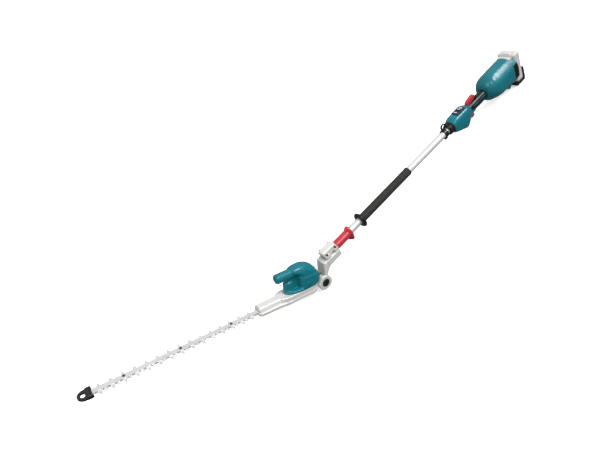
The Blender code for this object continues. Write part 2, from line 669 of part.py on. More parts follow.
def pipe_clamp_cap():
    """The clamp's upper half: a hump over the pipe, with an ear for each bolt."""
    low = GAP / 2
    cap = box("pipe_clamp_cap", (CLAMP_X[0] + 3, -15.5, low), (CLAMP_X[1], 15.5, CLAMP_TOP), POLE,
              "cast_aluminium", 5.0, 2)
    ears = [box(f"ear_{i}", (x - 8, min(y * 0.6, y * 1.24), low), (x + 8, max(y * 0.6, y * 1.24), 14.5),
        POLE)
            for i, (x, y) in enumerate(clamp_bolt_places())]
    join(cap, *ears)
    pipe_hole = cylinder("cap_pipe_hole", PIPE_OUTER + GAP, 20, 140, "X", POLE, None, 40)
    holes = [cylinder(f"cap_bolt_hole_{i}", 2.6, -5, 40, "Z", POLE, None, 12, (x, y, 0))
             for i, (x, y) in enumerate(clamp_bolt_places())]
    return cut(cap, pipe_hole, *holes)


def clamp_bolt(index, x, y):
    profile = [(0, -24.0), (2.2, -24.0), (2.2, 14.8), (4.3, 14.8), (4.3, 18.6), (3.8, 19.2), (2.4, 19.2),
               (2.4, 16.8), (0, 16.8)]
    return turned(f"clamp_bolt_{index}", profile, POLE, "dark_steel", (x, y, 0), 12, "Z")


def pivot_bolt():
    head_at = -CHEEK_Y[1] + 4 - GAP
    obj = cylinder("pivot_bolt", 6.0, head_at - 3, 30.0, "Y", POLE, "dark_steel", 32, (0, 0, -PIVOT_DROP))
    head = cylinder("bolt_head", 14.0, head_at - 5.5, head_at, "Y", POLE, None, 32, (0, 0, -PIVOT_DROP))
    bevel(head, 1.5, 2)
    socket = cylinder("hex_socket", 7.0, head_at - 12, head_at - 1.0, "Y", POLE, None, 6,
        (0, 0, -PIVOT_DROP))
    join(obj, head)
    return cut(obj, socket)


def pivot_nut():
    seat = CHEEK_Y[1] - 4 + GAP
    nut = cylinder("pivot_nut", 11.0, seat, seat + 7.0, "Y", POLE, "dark_steel", 6, (0, 0, -PIVOT_DROP))
    hole = cylinder("nut_hole", 6.0 + GAP, 0, 60, "Y", POLE, None, 24, (0, 0, -PIVOT_DROP))
    return cut(nut, hole)


# ---- pole ----

def tube(name, inner, outer, start, end, parent, finish, steps=40, rounding=0.0):
    """A turned sleeve along X, with its outer ends eased."""
    profile = [(inner, start), (outer - rounding, start), (outer, start + rounding),
               (outer, end - rounding), (outer - rounding, end), (inner, end)]
    if not rounding:
        profile = ring_profile(inner, outer, start, end)
    return turned(name, profile, parent, finish, (0, 0, 0), steps)


def lock_sleeve():
    """The red sleeve that frees the head's angle, with finger lugs above and below."""
    start, end = SLEEVE_X
    bore = PIPE_OUTER + GAP
    sleeve = cylinder("lock_sleeve", SLEEVE_RADIUS, start, end, "X", POLE, "red_plastic", 32)
    lugs = [(26.0 * cos(t) * 0.72, 26.0 * sin(t)) for t in [2 * pi * i / 32 for i in range(32)]]
    flange = outline_mesh("sleeve_flange", [lugs], 7.0, "YZ", POLE, None, (end - 5.0, 0, 0))
    bevel(flange, 2.0, 1)
    join(sleeve, flange)
    pipe_hole = cylinder("sleeve_bore", bore, start - 5, end + 5, "X", POLE, None, 32)
    spring_room = cylinder("spring_room", PIPE_OUTER + 2.2, start + 12, end + 5, "X", POLE, None, 32)
    return cut(sleeve, pipe_hole, spring_room)


def coil(name, radius, wire, turns, start, end, parent, finish, per_turn=12):
    """A helical spring round the X axis."""
    curve = bpy.data.curves.new(name, "CURVE")
    curve.dimensions = "3D"
    curve.bevel_depth = wire * MM
    curve.bevel_resolution = 0
    curve.use_fill_caps = True
    spline = curve.splines.new("POLY")
    count = turns * per_turn
    spline.points.add(count)
    for i, point in enumerate(spline.points):
        turn = 2 * pi * i / per_turn
        along = start + (end - start) * i / count
        point.co = (along * MM, radius * cos(turn) * MM, radius * sin(turn) * MM, 1.0)
    return add(name, curve, parent, (0, 0, 0), finish)


def sleeve_spring():
    return coil("sleeve_spring", PIPE_OUTER + 1.25, 0.6, 6, SLEEVE_X[0] + 14, SLEEVE_X[1] - 8, POLE,
        "dark_steel")


def wire(name, radius, points, parent, finish):
    curve = bpy.data.curves.new(name, "CURVE")
    curve.dimensions = "3D"
    curve.bevel_depth = radius * MM
    curve.bevel_resolution = 2
    curve.use_fill_caps = True
    spline = curve.splines.new("POLY")
    spline.points.add(len(points) - 1)
    for point, place in zip(spline.points, points):
        point.co = (*(Vector(place) * MM), 1.0)
    return add(name, curve, parent, (0, 0, 0), finish)


def hand_guard():
    radius = HAND_GUARD_RADIUS
    start, end = HAND_GUARD_X
    rim = arc((end - 6, radius - 6), 6.0, 0, 180, 4)
    profile = [(PIPE_OUTER + GAP, end), (GRIP_RADIUS + 2, end)] + [(y, x) for x, y in rim]
    profile += [(GRIP_RADIUS + 1, start), (PIPE_OUTER + GAP, start)]
    return turned("hand_guard", profile, POLE, "rubber", (0, 0, 0), 32)


def hanger_clamp():
    """The band round the pipe with the loop that a shoulder strap hooks into."""
    band = cylinder("hanger_clamp", 17.0, HANGER_X - 8, HANGER_X + 8, "X", POLE, "black_plastic", 32)
    loop_z = 28.0
    loop = outline_mesh("hanger_loop", [slot(HANGER_X + 4, 27, 25, 8, loop_z)], 6.0, "XZ", POLE)
    lug = box("hanger_lug", (HANGER_X - 7, -6, -24), (HANGER_X + 7, 6, -12), POLE, None, 1.5)
    join(band, loop, lug)
    bore = cylinder("hanger_bore", PIPE_OUTER + GAP, HANGER_X - 30, HANGER_X + 30, "X", POLE, None, 40)
    eye = cylinder("hanger_eye", 8.0, -20, 20, "Y", POLE, None, 20, (HANGER_X + 4, 0, loop_z + 1.5))
    split = box("hanger_split", (HANGER_X - 20, -1, -40), (HANGER_X + 20, 1, -10), POLE)
    screw_hole = cylinder("hanger_screw_hole", 2.6, -20, 20, "Y", POLE, None, 12, (HANGER_X, 0, -20))
    return cut(band, bore, eye, split, screw_hole)


def front_collar():
    start, end = COLLAR_X
    profile = [(PIPE_OUTER + GAP, start), (19.0, start), (22.0, start + 5), (20.5, start + 9),
        (25.0, end - 8.5),
               (PIPE_OUTER + GAP, end - 8.5)]
    return turned("front_collar", profile, POLE, "rubber", (0, 0, 0), 32)


# ---- control housing ----

def half_space(name, side, start, end):
    """Everything on the other side of the joint face, with half the gap."""
    low_y = -80 if side > 0 else -GAP / 2
    high_y = GAP / 2 if side > 0 else 80
    return box(name, (start, low_y, -120), (end, high_y, 120), POLE)


def control_housing(name, side):
    """One half of the housing in front of the handle: deep belly, flat top for the panel."""
    low, high = CONTROL_Z
    front, rear = CONTROL_X
    profile = [(front, -22), (front + 32, -36), (front + 66, low), (front + 86, low + 20), (rear, -19),
        (rear, 19),
               (rear - 42, high), (front + 22, high), (front, 20)]
    body = outline_mesh(name, [profile], 2 * CONTROL_HALF, "XZ", POLE, "teal_plastic")
    bevel(body, 8.0, 3)
    room = box(name + "_room", (front + 8, -CONTROL_HALF + SHELL + 3, -26),
        (rear - 20, CONTROL_HALF - SHELL - 3, 25),
               POLE, None, 6.0, 2)
    pipe_hole = cylinder(name + "_pipe", PIPE_OUTER + GAP, front - 20, front + 60, "X", POLE, None, 32)
    handle_hole = cylinder(name + "_handle", 15.4, TAB_X - 20, rear + 20, "X", POLE, None, 24)
    panel_seat = box(name + "_panel_seat", (PANEL_X[0] - GAP, -PANEL_HALF - GAP, high - 2.0),
                     (PANEL_X[1] + GAP, PANEL_HALF + GAP, high + 20), POLE)
    button_holes = [box(f"{name}_button_{i}", (x - 6, -12, 10), (x + 6, 12, high + 10), POLE)
                    for i, x in enumerate(BUTTON_X)]
    lever_room = box(name + "_lever_room", (LEVER_HINGE_X - 7, -7.2, -5), (rear + 10, 7.2, 60), POLE)
    trigger_room = box(name + "_trigger_room", (TRIGGER_HINGE_X - 9, -6.4, -70), (rear + 10, 6.4, 8), POLE)
    handle_room = box(name + "_handle_room", (TAB_X, -50, TAB_Z), (rear + 10, 50, 60), POLE)
    return cut(body, room, pipe_hole, handle_hole, panel_seat, lever_room, trigger_room, handle_room,
               half_space(name + "_other_side", side, front - 20, rear + 20), *button_holes)


def control_panel():
    high = CONTROL_Z[1]
    panel = box("control_panel", (PANEL_X[0], -PANEL_HALF, high - 1.7),
        (PANEL_X[1], PANEL_HALF, high + 2.5), POLE,
                "black_plastic", 1.2, 2)
    holes = [box(f"panel_hole_{i}", (x - 5.4, -10.4, 0), (x + 5.4, 10.4, 80), POLE) for i,
        x in enumerate(BUTTON_X)]
    lamp = box("panel_lamp_hole", (PANEL_X[1] - 10.2, -7.2, 0), (PANEL_X[1] - 3.8, 7.2, 80), POLE)
    return cut(panel, lamp, *holes)


def panel_button(name, x):
    high = CONTROL_Z[1]
    cap = box(name, (x - 5, -10, high - 7), (x + 5, 10, high + 4.5), POLE, "black_plastic", 1.0, 2,
        (x, 0, high))
    flange = box(name + "_flange", (x - 5.8, -11.5, high - 9), (x + 5.8, 11.5, high - 6), POLE)
    return join(cap, flange)


def indicator_lens():
    high = CONTROL_Z[1]
    return box("indicator_lens", (PANEL_X[1] - 10, -7, high + 0.2), (PANEL_X[1] - 4, 7, high + 3.0), POLE,
               "pale_plastic", 0.5, 1)


# ---- handle, lever and trigger ----

def handle_rooms(name):
    """What the handle leaves free: the lever above, the trigger below and the housing's tabs."""
    start = HANDLE_X[0]
    lever_room = box(name + "_lever_room", (start - 5, -7.2, 0), (LEVER_HINGE_X + 56, 7.2, 40), POLE)
    trigger_room = box(name + "_trigger_room", (start - 5, -6.2, -40), (TRIGGER_HINGE_X + 34.6, 6.2, 0),
        POLE)
    tab_room = box(name + "_tab_room", (start - 5, -40, -40), (CONTROL_X[1] + GAP, 40, TAB_Z + GAP), POLE)
    return lever_room, trigger_room, tab_room


def handle_core():
    """The handle's moulded tube, open along the top and bottom for the lever and the trigger."""
    core = tube("handle_core", 11.5, 15.0, *HANDLE_X, POLE, "teal_plastic", 32)
    return cut(core, *handle_rooms("core"))


def handle_grip():
    grip = tube("handle_grip", 15.3, HANDLE_RADIUS, *HANDLE_X, POLE, "rubber", 32, 1.5)
    return cut(grip, *handle_rooms("grip"))


def lock_off_lever():
    """The red lever on top, hinged at its front. Its origin is its hinge."""
    hinge = (LEVER_HINGE_X, 0, 17.0)
    profile = [(-3, -1), (0, -3.2), (3, -2.5), (24, 3.0), (39, 7.0), (45, 13.0), (46, 18.0), (42, 22.5),
        (37, 22.5),
               (8, 17.5), (0, 13.0), (-3, 6.0)]
    return bevel(outline_mesh("lock_off_lever", [profile], 13.0, "XZ", POLE, "red_plastic", hinge), 1.0, 2)


def trigger():
    """The red trigger below, hinged at its front. Its origin is its hinge."""
    hinge = (TRIGGER_HINGE_X, 0, -17.0)
    profile = [(-3.5, 3), (-3.5, -2), (0, -12), (3, -25), (6, -28), (20, -26.5), (23, -23), (22, -10),
        (24, -5),
               (24, -1), (6, 4)]
    return bevel(outline_mesh("trigger", [profile], 11.0, "XZ", POLE, "red_plastic", hinge), 1.2, 2)


def trigger_switch():
    return box("trigger_switch", (836, -9, -20), (857, 9, 6), POLE, "black_plastic", 1.0, 1)


# ---- rear housing ----

def rear_housing(name, side):
    """One half of the rear housing, domed in front, with a channel at the back for the battery."""
    front, rear = REAR_X
    profile = [(0, front), (19.0, front), (28.5, front + 3), (37.0, front + 12), (44.0, front + 27),
        (49.5, front + 48),
               (53.0, front + 74), (54.5, rear - 40), (54.0, rear), (0, rear)]
    body = turned(name, profile, POLE, "teal_plastic", (0, 0, 0), 40)
    flats = box(name + "_sides", (front - 10, -REAR_HALF, -70), (rear + 10, REAR_HALF, 70), POLE)
    boolean(body, (flats,), "INTERSECT")
    foot = outline_mesh(name + "_foot", [[(1078, -40), (1128, -40), (1131, -66), (1112, -80), (1103, -80)]],
                        24.0, "XZ", POLE)
    join(body, foot)
    room = turned(name + "_room", [(0, front + 14), (18.0, front + 14), (34.0, front + 26),
        (42.0, front + 46),
                                   (48.0, front + 80), (49.5, RAIL_X - 8), (0, RAIL_X - 8)], POLE, None,
                                       (0, 0, 0), 32)
    sides = box(name + "_room_sides", (front, -REAR_HALF + SHELL + 1, -70),
        (rear, REAR_HALF - SHELL - 1, 70), POLE)
    boolean(room, (sides,), "INTERSECT")
    channel = box(name + "_channel", (RAIL_X - 2, -RAIL_HALF - 1, BATTERY_Z[0] + 6),
        (rear + 10, RAIL_HALF + 1, 80), POLE)
    handle_hole = cylinder(name + "_handle", HANDLE_RADIUS + 0.5, 940, HANDLE_X[1] + 0.5, "X", POLE, None,
        32)
    core_hole = cylinder(name + "_core_hole", 12.0, 940, front + 40, "X", POLE, None, 24)
    block_hole = box(name + "_block_hole", (RAIL_X - 12, -16, -36), (RAIL_X + 2, 16, 4), POLE)
    return cut(body, room, channel, handle_hole, core_hole, block_hole,
               half_space(name + "_other_side", side, front - 20, rear + 20))


def terminal_block():
    """The contacts that the battery slides onto."""
    block = box("terminal_block", (RAIL_X - 9.7, -15.6, -35.6), (RAIL_X - 2.6, 15.6, 3.6), POLE,
        "black_plastic")
    blades = [box(f"contact_{i}", (RAIL_X - 4, y - 1, -30), (RAIL_X + 7, y + 1, -8), POLE)
              for i, y in enumerate((-10.0, 0.0, 10.0))]
    return join(block, *blades)


def controller():
    return box("controller", (1020, -28, -30), (1070, 28, -6), POLE, "black_plastic", 2.0, 1)


def battery_guard():
    """The black hoop behind the battery: it keeps the pack off the ground and carries the tool's rear."""
    bottom = -POLE_HEIGHT
    rear = GUARD_FOOT_X + 25.0
    profile = [(1131.6, -64), (1131.6, -80), (1148, bottom), (rear - 6, bottom), (rear, bottom + 8),
               (rear - 1, -35), (rear - 10, -35), (rear - 12, bottom + 15), (rear - 18, bottom + 12),
               (1157, bottom + 12), (1143, -66), (1142, -64)]
    return bevel(outline_mesh("battery_guard", [profile], 2 * GUARD_HALF, "XZ", POLE, "black_plastic"), 1.2,
        2)


# ---- battery ----

def battery_case():
    """The pack's shell, hollow, with a slot in its rail for the contacts."""
    front, rear = BATTERY_X
    low, high = BATTERY_Z
    case = box("battery_case", (front, -BATTERY_HALF, low), (rear, BATTERY_HALF, high), POLE,
        "pale_plastic", 6.0, 3)
    rail = box("battery_rail", (RAIL_X, -RAIL_HALF, low + 8), (front + 3, RAIL_HALF, high - 8), POLE)
    join(case, rail)
    room = box("battery_room", (front + 2.5, -BATTERY_HALF + 2.5, low + 2.5),
        (rear - 2.5, BATTERY_HALF - 2.5, high - 2.5), POLE)
    contact_room = box("battery_contact_room", (RAIL_X - 5, -13, low - 5), (front + 5, 13, -4), POLE)
    button_room = box("battery_button_room", (front + 4, -14.5, high - 8), (front + 14, 14.5, high + 5),
        POLE)
    return cut(case, room, contact_room, button_room)


def battery_cells():
    """Five cells side by side, drawn as one block."""
    radius = 9.3
    step = 2 * radius - 0.6
    low = BATTERY_Z[0] + 4.0 + radius
    x = (BATTERY_X[0] + BATTERY_X[1]) / 2 + 3.5
    cells = cylinder("battery_cells", radius, -32.5, 32.5, "Y", POLE, "copper", 20, (x, 0, low))
    others = [cylinder(f"cell_{i}", radius, -32.5, 32.5, "Y", POLE, None, 20, (x, 0, low + step * i))
              for i in range(1, 5)]
    return join(cells, *others)


def battery_release_button():
    front = BATTERY_X[0]
    high = BATTERY_Z[1]
    return box("battery_release_button", (front + 4.4, -14, high - 6.5), (front + 13.6, 14, high + 2.5),
        POLE,
               "pale_plastic", 1.0, 2, (front + 9, 0, high))


clear_scene()
PARTS = new_collection("pole_hedge_trimmer")
CUTTERS = new_collection("cutters")
POLE = empty("pole", (-GUARD_FOOT_X, 0, POLE_HEIGHT))
HEAD = empty("head", (-GUARD_FOOT_X, 0, POLE_HEIGHT - PIVOT_DROP), (0, radians(HEAD_TILT), 0))

upper_blade()
lower_blade()
guide_bar()
for number, bolt_x in enumerate(BLADE_BOLT_X, 1):
    blade_bolt(number, bolt_x)
tip_guard()
gear_case()
gear_case_cover()
for number, (screw_x, screw_y) in enumerate(cover_screw_places(), 1):
    cover_screw(number, screw_x, screw_y)
index_plate()
crank_gear()
crank_shaft()
crank_bearing()
motor_rotor()
motor_stator()
motor_housing("motor_housing_left", 1)
motor_housing("motor_housing_right", -1)
cable_boot()
pivot_arm()
locking_pin()
pipe_clamp_cap()
for number, (bolt_x, bolt_y) in enumerate(clamp_bolt_places(), 1):
    clamp_bolt(number, bolt_x, bolt_y)
pivot_bolt()
pivot_nut()
tube("pipe", PIPE_INNER, PIPE_OUTER, PIPE_X[0], PIPE_X[1], POLE, "pipe_aluminium")
lock_sleeve()
sleeve_spring()
wire("power_cable", 3.0, [(PIPE_X[0] + 8, 0, 0), (PIPE_X[1] - 5, 0, 0)], POLE, "rubber")
hand_guard()
tube("front_grip", PIPE_OUTER + GAP, GRIP_RADIUS, GRIP_X[0], GRIP_X[1], POLE, "rubber", 40, 1.5)
hanger_clamp()
front_collar()
control_housing("control_housing_left", 1)
control_housing("control_housing_right", -1)
control_panel()
panel_button("power_button", BUTTON_X[0])
panel_button("reverse_button", BUTTON_X[1])
indicator_lens()
handle_core()
handle_grip()
lock_off_lever()
trigger()
trigger_switch()
rear_housing("rear_housing_left", 1)
rear_housing("rear_housing_right", -1)
terminal_block()
controller()
battery_guard()
battery_case()
battery_cells()
battery_release_button()
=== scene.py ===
"""The visual model of a pole hedge trimmer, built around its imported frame."""
from math import cos, exp, pi, radians, sin, sqrt, tan

import bmesh
import bpy
from mathutils import Matrix, Vector


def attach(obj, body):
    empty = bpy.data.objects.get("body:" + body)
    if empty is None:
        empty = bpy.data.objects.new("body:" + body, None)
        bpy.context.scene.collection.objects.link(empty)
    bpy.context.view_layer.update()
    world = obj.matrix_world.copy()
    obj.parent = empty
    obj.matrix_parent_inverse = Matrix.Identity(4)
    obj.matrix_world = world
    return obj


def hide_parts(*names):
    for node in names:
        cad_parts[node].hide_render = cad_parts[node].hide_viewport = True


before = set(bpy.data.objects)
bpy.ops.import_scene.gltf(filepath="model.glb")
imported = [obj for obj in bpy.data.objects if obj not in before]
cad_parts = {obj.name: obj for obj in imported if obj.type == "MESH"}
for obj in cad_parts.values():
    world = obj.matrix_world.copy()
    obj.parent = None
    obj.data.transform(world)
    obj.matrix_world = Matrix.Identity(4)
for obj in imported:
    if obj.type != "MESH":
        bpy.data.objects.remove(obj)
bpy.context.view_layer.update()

# Lengths are in millimetres, in the pole's or the head's own frame.
MM = 0.001
PIVOT = (-1.175, 0.0, 0.026)
PIPE_HEIGHT = 0.068            # of the pole's axis over the pivot, in metres
HEAD_TILT = 26.0
IN_METRES = Matrix.Scale(MM, 4)
POLE = Matrix.Translation((PIVOT[0], 0.0, PIVOT[2] + PIPE_HEIGHT)) @ IN_METRES
HEAD = Matrix.Translation(PIVOT) @ Matrix.Rotation(radians(HEAD_TILT), 4, "Y") @ IN_METRES

GAP = 0.3                      # between pieces that meet
PIPE = 13.0                    # outer radius
BORE = PIPE + GAP
AXIS = 0.001                   # a radius that stands for the axis of a turned shape
BEVEL_ANGLE = 35.0             # edges that turn by fewer degrees than this stay as they are
SHARP_ANGLE = 38.0             # edges that turn by more degrees than this are shaded sharp
EASED = 0.00035                # the fine break along a CAD node's edges, in metres
EASED_ANGLE = 40.0             # edges that turn by fewer degrees get no break
WELDED = 0.000005              # vertices closer than this, in metres, are one
JOINTED = ((1, "left"), (-1, "right"))       # the two halves of a split housing


# ---- materials ----

COAT_ROUGHNESS = 0.12
BUMP_HEIGHT = 0.0004
EDGE = (0.52, 0.6)             # the pointiness at which wear starts, and at which it is full
WEAR_SCALE = 220.0


def finish(name, slot, colour, roughness, metallic=0.0, grain=(1500.0, 0.12), mottle=(45.0, 0.07),
           spread=0.06, wear=0.0, worn=(0.8, 0.8, 0.8), stretch=(1.0, 1.0, 1.0), coat=0.0,
           pits=None, gloss=0.5):
    """A procedural material.

    grain and mottle are (scale, strength). spread is how far the roughness strays. wear lightens
    the edges towards worn. stretch draws the grain out along an axis. pits is the scale of a foam's
    cells, and gloss is the strength of the plain highlight.
    """
    made = bpy.data.materials.new(name)
    made.use_nodes = True
    made["slot"] = slot
    made.diffuse_color = (*colour, 1.0)
    nodes = made.node_tree.nodes
    link = made.node_tree.links.new
    shader = nodes["Principled BSDF"]
    shader.inputs["Metallic"].default_value = metallic
    shader.inputs["Specular IOR Level"].default_value = gloss
    shader.inputs["Coat Weight"].default_value = coat
    shader.inputs["Coat Roughness"].default_value = COAT_ROUGHNESS
    place = nodes.new("ShaderNodeTexCoord")
    scaled = nodes.new("ShaderNodeMapping")
    scaled.inputs["Scale"].default_value = stretch
    plain, drawn = place.outputs["Object"], scaled.outputs[0]
    link(plain, scaled.inputs["Vector"])

    def noise(scale, detail, source=plain):
        found = nodes.new("ShaderNodeTexNoise")
        found.inputs["Scale"].default_value = scale
        found.inputs["Detail"].default_value = detail
        link(source, found.inputs["Vector"])
        return found.outputs["Fac"]

    def ranged(value, low, high, start=0.3, end=0.7):
        found = nodes.new("ShaderNodeMapRange")
        found.inputs["From Min"].default_value = start
        found.inputs["From Max"].default_value = end
        found.inputs["To Min"].default_value = low
        found.inputs["To Max"].default_value = high
        link(value, found.inputs["Value"])
        return found.outputs["Result"]

    def mixed(amount, first, second):
        found = nodes.new("ShaderNodeMix")
        found.data_type = "RGBA"
        link(amount, found.inputs["Factor"])
        for socket, value in (("A", first), ("B", second)):
            target = [s for s in found.inputs if s.name == socket and s.type == "RGBA"][0]
            if isinstance(value, tuple):
                target.default_value = (*value, 1.0)
            else:
                link(value, target)
        return [s for s in found.outputs if s.type == "RGBA"][0]

    def product(first, second):
        found = nodes.new("ShaderNodeMath")
        found.operation = "MULTIPLY"
        link(first, found.inputs[0])
        link(second, found.inputs[1])
        return found.outputs[0]

    fine = noise(grain[0], 3.0, drawn)
    broad = noise(mottle[0], 5.0)
    dark = tuple(c * (1.0 - mottle[1]) for c in colour)
    light = tuple(min(1.0, c * (1.0 + mottle[1])) for c in colour)
    tone = mixed(ranged(broad, 0.0, 1.0), dark, light)
    if wear:
        shape = nodes.new("ShaderNodeNewGeometry")
        edge = ranged(shape.outputs["Pointiness"], 0.0, wear, *EDGE)
        tone = mixed(product(edge, ranged(noise(WEAR_SCALE, 4.0), 0.2, 1.0)), tone, worn)
    link(tone, shader.inputs["Base Color"])
    link(ranged(noise(mottle[0] * 3.0, 4.0), max(0.02, roughness - spread), roughness + spread),
         shader.inputs["Roughness"])
    height = fine
    if pits:
        cells = nodes.new("ShaderNodeTexVoronoi")
        cells.inputs["Scale"].default_value = pits
        link(drawn, cells.inputs["Vector"])
        height = product(fine, cells.outputs["Distance"])
    bump = nodes.new("ShaderNodeBump")
    bump.inputs["Strength"].default_value = grain[1]
    bump.inputs["Distance"].default_value = BUMP_HEIGHT
    link(height, bump.inputs["Height"])
    link(bump.outputs["Normal"], shader.inputs["Normal"])
    return made


FINISHES = {
    "teal": finish("moulded_teal", "teal_plastic", (0.003, 0.150, 0.190), 0.27, grain=(2600.0, 0.06),
                   mottle=(14.0, 0.05), wear=0.05, worn=(0.12, 0.42, 0.46), coat=0.12, gloss=0.3),
    "red": finish("moulded_red", "red_plastic", (0.46, 0.022, 0.034), 0.34, grain=(2000.0, 0.1),
                  wear=0.1, worn=(0.8, 0.25, 0.22), coat=0.15),
    "black": finish("textured_black", "black_plastic", (0.006, 0.006, 0.0065), 0.22,
                    grain=(1800.0, 0.12), wear=0.35, worn=(0.09, 0.09, 0.09), gloss=0.28),
    "panel": finish("panel_navy", "black_plastic", (0.006, 0.010, 0.024), 0.28,
                    grain=(2400.0, 0.08), wear=0.2, worn=(0.06, 0.07, 0.1), gloss=0.3),
    "rubber": finish("soft_rubber", "rubber", (0.009, 0.0085, 0.008), 0.28, grain=(900.0, 0.2),
                     mottle=(60.0, 0.2), wear=0.2, worn=(0.07, 0.068, 0.062), gloss=0.28),
    "foam": finish("grip_foam", "rubber", (0.026, 0.026, 0.024), 0.8, grain=(700.0, 0.9),
                   mottle=(260.0, 0.45), spread=0.1, pits=1300.0, gloss=0.3),
    "cast": finish("cast_silver", "cast_aluminium", (0.70, 0.695, 0.67), 0.38, 0.25,
                   grain=(1100.0, 0.3), mottle=(30.0, 0.04), wear=0.1, worn=(0.9, 0.9, 0.88)),
    "pipe": finish("drawn_pipe", "pipe_aluminium", (0.66, 0.665, 0.67), 0.3, 0.3, grain=(500.0, 0.12),
                   mottle=(25.0, 0.03), stretch=(0.05, 1.0, 1.0)),
    "blade": finish("ground_steel", "blade_steel", (0.74, 0.745, 0.75), 0.26, 0.55, grain=(900.0, 0.25),
                    mottle=(35.0, 0.08), stretch=(0.25, 1.0, 1.0), wear=0.3, worn=(0.9, 0.9, 0.9)),
    "steel": finish("blackened_steel", "dark_steel", (0.05, 0.05, 0.052), 0.36, 0.8,
                    grain=(1400.0, 0.25), mottle=(80.0, 0.15), wear=0.5, worn=(0.35, 0.34, 0.33)),
    "copper": finish("wound_copper", "copper", (0.62, 0.26, 0.11), 0.34, 0.9, grain=(800.0, 0.5),
                     stretch=(1.0, 1.0, 6.0)),
    "pale": finish("pale_moulding", "pale_plastic", (0.60, 0.603, 0.60), 0.36, grain=(1900.0, 0.15),
                   mottle=(50.0, 0.04), coat=0.1),
}
# A slot's CAD nodes take the first finish made for it.
BY_SLOT = {made["slot"]: made for made in reversed(list(FINISHES.values()))}


# ---- mesh helpers ----

def applied(shape, add):
    """The shape after the modifiers that add() gives it."""
    mesh = bpy.data.meshes.new("work")
    shape.to_mesh(mesh)
    shape.free()
    obj = bpy.data.objects.new("work", mesh)
    bpy.context.scene.collection.objects.link(obj)
    add(obj)
    made = bmesh.new()
    made.from_object(obj, bpy.context.evaluated_depsgraph_get())
    bpy.data.objects.remove(obj)
    bpy.data.meshes.remove(mesh)
    return made


def bevelled(shape, width, segments=4):
    """The shape with its sharp edges rounded over."""
    def add(obj):
        made = obj.modifiers.new("bevel", "BEVEL")
        made.width = width
        made.segments = segments
        made.limit_method = "ANGLE"
        made.angle_limit = radians(BEVEL_ANGLE)
        made.use_clamp_overlap = True
    return applied(shape, add)


def combined(shape, others, operation):
    """The shape joined with, cut by or kept inside each of the others, which are used up."""
    tools = []

    def add(obj):
        for other in others:
            mesh = bpy.data.meshes.new("tool")
            other.to_mesh(mesh)
            other.free()
            tool = bpy.data.objects.new("tool", mesh)
            bpy.context.scene.collection.objects.link(tool)
            tools.append(tool)
            made = obj.modifiers.new("combine", "BOOLEAN")
            made.operation = operation
            made.solver = "EXACT"
            made.object = tool
    made = applied(shape, add)
    for tool in tools:
        mesh = tool.data
        bpy.data.objects.remove(tool)
        bpy.data.meshes.remove(mesh)
    return made


def cut(shape, *others):
    return combined(shape, others, "DIFFERENCE")


def join(shape, *others):
    return combined(shape, others, "UNION")


def blended(shape, voxel, rounds):
    """The shape as one skin with its corners run together, as a moulding's are."""
    def add(obj):
        skin = obj.modifiers.new("skin", "REMESH")
        skin.mode = "VOXEL"
        skin.voxel_size = voxel
        ease = obj.modifiers.new("ease", "SMOOTH")
        ease.factor = 0.5
        ease.iterations = rounds
    return applied(shape, add)


def hollowed(shape, wall):
    """An open skin given a wall's thickness inward."""
    def add(obj):
        made = obj.modifiers.new("wall", "SOLIDIFY")
        made.thickness = wall
        made.offset = -1.0
        made.use_rim = True
    bmesh.ops.recalc_face_normals(shape, faces=shape.faces)
    return applied(shape, add)


def trimmed(shape, point, keep):
    """The shape without what lies behind a plane through point; the cut stays open."""
    everything = shape.verts[:] + shape.edges[:] + shape.faces[:]
    bmesh.ops.bisect_plane(shape, geom=everything, plane_co=point, plane_no=keep, clear_inner=True)
    return shape


def together(*shapes):
    """Several shapes as one mesh, each a closed body of its own."""
    made = bmesh.new()
    for shape in shapes:
        mesh = bpy.data.meshes.new("part")
        shape.to_mesh(mesh)
        shape.free()
        made.from_mesh(mesh)
        bpy.data.meshes.remove(mesh)
    return made


def prism(outline, low, high, axis="Y"):
    """An outline pushed along an axis from low to high."""
    def at(point, along):
        first, second = point
        return {"X": (along, first, second), "Y": (first, along, second),
                "Z": (first, second, along)}[axis]
    shape = bmesh.new()
    lower = [shape.verts.new(at(point, low)) for point in outline]
    upper = [shape.verts.new(at(point, high)) for point in outline]
    shape.faces.new(lower)
    shape.faces.new(list(reversed(upper)))
    for i in range(len(outline)):
        shape.faces.new((lower[i - 1], lower[i], upper[i], upper[i - 1]))
    bmesh.ops.recalc_face_normals(shape, faces=shape.faces)
    return shape


def block(low, high, rounding=0.0, segments=4):
    """A box between two corners, with its edges rounded if asked."""
    shape = bmesh.new()
    size = Vector(high) - Vector(low)
    middle = (Vector(high) + Vector(low)) / 2
    bmesh.ops.create_cube(shape, size=1.0,
                          matrix=Matrix.Translation(middle) @ Matrix.Diagonal((*size, 1.0)))
    return bevelled(shape, rounding, segments) if rounding else shape


def turned(profile, steps=96, centre=(0.0, 0.0)):
    """A closed profile of (x, radius) turned about an axis along X through centre (y, z)."""
    shape = bmesh.new()
    rings = []
    for along, radius in profile:
        ring = []
        for i in range(steps):
            turn = 2 * pi * i / steps
            place = (along, centre[0] + radius * cos(turn), centre[1] + radius * sin(turn))
            ring.append(shape.verts.new(place))
        rings.append(ring)
    for first, second in zip(rings, rings[1:] + rings[:1]):
        for i in range(steps):
            shape.faces.new((first[i - 1], first[i], second[i], second[i - 1]))
    bmesh.ops.remove_doubles(shape, verts=shape.verts, dist=1e-4)
    bmesh.ops.recalc_face_normals(shape, faces=shape.faces)
    return shape


def rod(start, end, radius, steps=64, centre=(0.0, 0.0)):
    """A solid cylinder along X."""
    return turned([(start, AXIS), (start, radius), (end, radius), (end, AXIS)], steps, centre)


